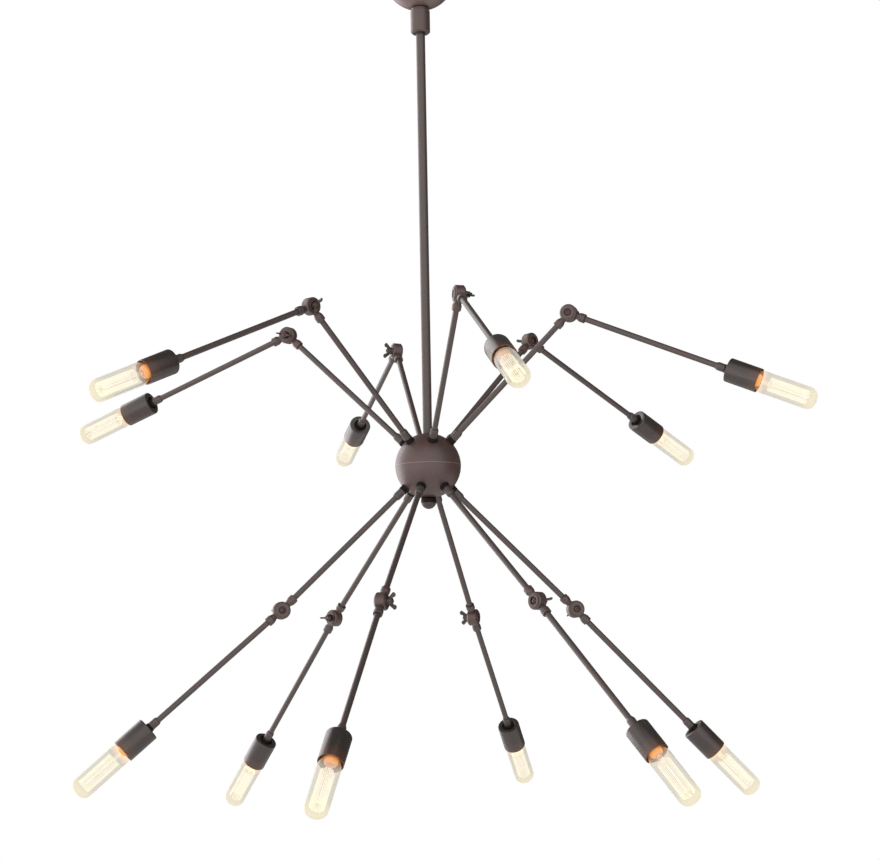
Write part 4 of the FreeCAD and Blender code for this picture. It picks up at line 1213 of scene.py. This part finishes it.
def worked(data, *recipes):
    """A mesh from a mesh or a curve, with modifiers applied. A recipe is a kind and its settings."""
    work = bpy.data.objects.new("work", data)
    scene.collection.objects.link(work)
    for kind, settings in recipes:
        modifier = work.modifiers.new(kind.lower(), kind)
        for name, setting in settings.items():
            setattr(modifier, name, setting)
    bpy.context.view_layer.update()
    depsgraph = bpy.context.evaluated_depsgraph_get()
    made = bpy.data.meshes.new_from_object(work.evaluated_get(depsgraph))
    bpy.data.objects.remove(work)
    return made


def bent_wire(name, paths, radius, finish):
    """A mesh with one round wire for each path of points in metres."""
    wire = bpy.data.curves.new(name, "CURVE")
    wire.dimensions = "3D"
    wire.bevel_depth = radius * MM
    wire.bevel_resolution = WIRE_ROUNDNESS
    wire.use_fill_caps = True
    for path in paths:
        spline = wire.splines.new("POLY")
        spline.points.add(len(path) - 1)
        for point, place in zip(spline.points, path):
            point.co = (*place, 1.0)
    wire.materials.append(finish)
    mesh = worked(wire)
    mesh.name = name
    mesh.shade_smooth()
    return mesh


mount_on_arms("filament", bent_wire("filament", [filament_points()], WIRE_RADIUS, glow))

# %% [markdown]
# ## Hooks and leads
# A thin hook holds the wire at each turn: the far ones start at the button and the near ones at the rod. A
# hook's points are shares of its lift and of the cage's radius. Two thicker leads come out of the pinch and
# end on the first and the last strand.

# %% Bend the hooks and the leads
HOOK_RADIUS = 0.16
HOOK_ROOT = 1.0
HOOK_SEAT = 3.0
HOOK_LIFT = 1.4
HOOK_SHAPE = ((1.0, 0.55), (0.3, 0.9), (0.4, 1.06), (1.0, 1.09))
LEAD_RADIUS = 0.35
LEAD_FOOT = 294.0
LEAD_ROOT = 2.6
LEAD_SPLAY = radians(30)
LEAD_RISE = 4.5
LEAD_LEAN = 0.3
LEAD_KNEE = 0.4
LEAD_SPREAD = 0.8
LEAD_LAP = 2.4


def hook_path(strand, root, end):
    """From the rod out to the turn after a strand, ending in a small crook over the wire."""
    angle = strand_angle(strand) + pi / PLACES
    lift = copysign(HOOK_LIFT, end - root)
    crook = [on_cage(end - drop * lift, angle, CAGE_RADIUS * out) for drop, out in HOOK_SHAPE]
    return [on_cage(root, angle, HOOK_ROOT)] + crook


def lead_path(strand):
    """From one side of the pinch out to a strand, which it overlaps a little."""
    angle = strand_angle(strand)
    side = copysign(LEAD_SPLAY, sin(angle))
    return [on_cage(LEAD_FOOT, side, LEAD_ROOT),
            on_cage(LEAD_FOOT + LEAD_RISE, side, LEAD_ROOT + LEAD_LEAN),
            on_cage(CAGE_START - LEAD_KNEE, angle, CAGE_RADIUS * LEAD_SPREAD),
            on_cage(CAGE_START + LEAD_LAP, angle)]


hooks = [hook_path(strand, BUTTON_START + HOOK_SEAT, CAGE_STOP) for strand in range(0, STRANDS, 2)]
hooks += [hook_path(strand, PINCH_STOP + HOOK_SEAT, CAGE_START) for strand in range(1, STRANDS - 1, 2)]
leads = [lead_path(0), lead_path(STRANDS - 1)]
mount_on_arms("hooks", bent_wire("hooks", hooks, HOOK_RADIUS, hook_wire))
mount_on_arms("leads", bent_wire("leads", leads, LEAD_RADIUS, hook_wire))

# %% [markdown]
# ## The pivot bolts
# Each knuckle turns on a bolt with a domed, slotted head on one side and a thread that shows past the wing
# nut on the other. It is turned along X, a Boolean modifier cuts the slot, and then it is swung round to the
# knuckle's Y.

# %% Turn the bolts
BOLT_RADIUS = 2.45
BOLT_HEAD_RADIUS = 4.0
BOLT_HEAD_HEIGHT = 2.2
BOLT_HEAD_STEPS = 9
BOLT_SEAT = 6.0
BOLT_END = 16.0
BOLT_CHAMFER = 0.4
BOLT_THREAD_START = 8.0
BOLT_PITCH = 0.8
BOLT_PITCH_STEPS = 8
BOLT_THREAD = {"pitch": BOLT_PITCH, "depth": 0.18, "fade": BOLT_PITCH, "sunk": 1.0}
BOLT_SIDES = 32
SLOT_WIDTH = 1.0
SLOT_DEPTH = 1.0
ALONG_BOLT = Matrix.Rotation(pi / 2, 4, "Z")


def box_mesh(size, middle_place):
    """A plain block from sizes in millimetres, used only as a cutter."""
    form = bmesh.new()
    bmesh.ops.create_cube(form, size=1.0)
    bmesh.ops.scale(form, vec=Vector(size) * MM, verts=form.verts)
    bmesh.ops.translate(form, vec=Vector(middle_place) * MM, verts=form.verts)
    return new_mesh("cutter", form)


def cut_for_bolt(mesh, cutter_mesh):
    """A mesh with another taken out of it, and then turned from X to the line of the bolt."""
    cutter = bpy.data.objects.new("cutter", cutter_mesh)
    scene.collection.objects.link(cutter)
    made = worked(mesh, ("BOOLEAN", {"operation": "DIFFERENCE", "object": cutter, "solver": "EXACT"}))
    bpy.data.objects.remove(cutter)
    made.transform(ALONG_BOLT)
    made.set_sharp_from_angle(angle=SHARP_ANGLE)
    return made


def pivot_bolt():
    """A slotted bolt. Half a pitch at the end of its thread is left to the chamfer."""
    crown = -(BOLT_SEAT + BOLT_HEAD_HEIGHT)
    lengths = steps_between(BOLT_THREAD_START, BOLT_END, BOLT_PITCH / BOLT_PITCH_STEPS)
    outline = [(crown, 0.0)] + dome(-BOLT_SEAT, -BOLT_HEAD_HEIGHT, BOLT_HEAD_RADIUS, BOLT_HEAD_STEPS)
    outline += [(-BOLT_SEAT, BOLT_RADIUS)]
    outline += [(length, BOLT_RADIUS) for length in lengths[:-BOLT_PITCH_STEPS // 2]]
    outline += [(BOLT_END, BOLT_RADIUS - BOLT_CHAMFER), (BOLT_END, 0.0)]
    thread = thread_between(BOLT_THREAD_START, BOLT_END, **BOLT_THREAD)
    blank = lathe("pivot_bolt", outline, bolt_bronze, ripple=thread, sides=BOLT_SIDES)
    slot = box_mesh((2 * SLOT_DEPTH, 3 * BOLT_HEAD_RADIUS, SLOT_WIDTH), (crown, 0.0, 0.0))
    return cut_for_bolt(blank, slot)


bolt_mesh = pivot_bolt()
for arm, matrix in arms.items():
    mount(f"{arm}_pivot_bolt", bolt_mesh, matrix, "hub_frame", "pivot_bolts")
print("pivot bolt:", len(bolt_mesh.vertices), "vertices")

# %% [markdown]
# ## The wing nuts
# A wing nut is a small forging: a tapered boss and two ears that flare out of it. They are made as closed
# forms that run into each other. A voxel Remesh melts them into one skin, and a Smooth modifier rounds the
# joints as forging does.

# %% Forge the wing nuts
NUT_SEAT = 6.0
NUT_BASE = 5.0
NUT_BAND = 1.2
NUT_CROWN = 3.9
NUT_BOSS = 9.0
NUT_BORE = 2.6
WING_REACH = 11.6
WING_HEIGHT = 13.6
WING_ROOT = 2.4
WING_TOP = 8.6
WING_TIP = 3.5
WING_TIP_TURN = 135
WING_TIP_STEPS = 9
WING_THICK_ROOT = 1.5
WING_THICK_TIP = 1.0
FORGE_VOXEL = 0.28
FORGE_ROUNDING = {"factor": 0.5, "iterations": 6}
DRILL_LENGTH = 30.0


def wing_outline():
    """One ear seen from the side: points of distance from the bolt's axis and height above the seat."""
    centre = (WING_REACH - WING_TIP, WING_HEIGHT - WING_TIP)
    tip = arc(centre, WING_TIP, 0, WING_TIP_TURN, WING_TIP_STEPS)
    return [(0.0, WING_ROOT), (NUT_CROWN, WING_ROOT)] + tip + [(NUT_CROWN, WING_TOP), (0.0, WING_TOP)]


def add_wing(form, way):
    """A thin slab in the outline of an ear, thicker at its root than at its tip."""
    sheets = []
    for side in (1, -1):
        sheet = []
        for distance, height in wing_outline():
            share = distance / WING_REACH
            half = WING_THICK_ROOT + (WING_THICK_TIP - WING_THICK_ROOT) * share
            sheet.append(form.verts.new(Vector((NUT_SEAT + height, side * half, way * distance)) * MM))
        sheets.append(sheet)
    form.faces.new(sheets[0])
    form.faces.new(reversed(sheets[1]))
    join_rings(form, sheets[0], sheets[1])


def wing_nut():
    crown = NUT_SEAT + NUT_BOSS
    outline = [(NUT_SEAT, 0.0), (NUT_SEAT, NUT_BASE), (NUT_SEAT + NUT_BAND, NUT_BASE),
               (crown, NUT_CROWN), (crown, 0.0)]
    form = bmesh.new()
    form.from_mesh(lathe("boss", outline, nut_bronze, sides=SMALL_SIDES))
    add_wing(form, 1)
    add_wing(form, -1)
    blank = finish_mesh("wing_nut", form, nut_bronze)
    forge = {"mode": "VOXEL", "voxel_size": FORGE_VOXEL * MM, "use_smooth_shade": True}
    forged = worked(blank, ("REMESH", forge), ("SMOOTH", FORGE_ROUNDING))
    bore = [(0.0, 0.0), (0.0, NUT_BORE), (DRILL_LENGTH, NUT_BORE), (DRILL_LENGTH, 0.0)]
    return cut_for_bolt(forged, lathe("drill", bore, nut_bronze, sides=SMALL_SIDES))


def nut_matrix(arm):
    """The arm's matrix turned about the bolt until its Z lies along the ears of the nut."""
    back = arms[arm].inverted()
    places = [back @ Vector(place) for place in spots(node_name(arm, "wing_nut"))]
    ear = max(places, key=lambda place: hypot(place.x, place.z))
    return arms[arm] @ Matrix.Rotation(atan2(ear.x, ear.z), 4, "Y")


nut_mesh = wing_nut()
for arm in arms:
    mount(f"{arm}_wing_nut", nut_mesh, nut_matrix(arm), f"{arm}_nut",
          node_name(arm, "wing_nut"))
print("wing nut:", len(nut_mesh.vertices), "vertices")
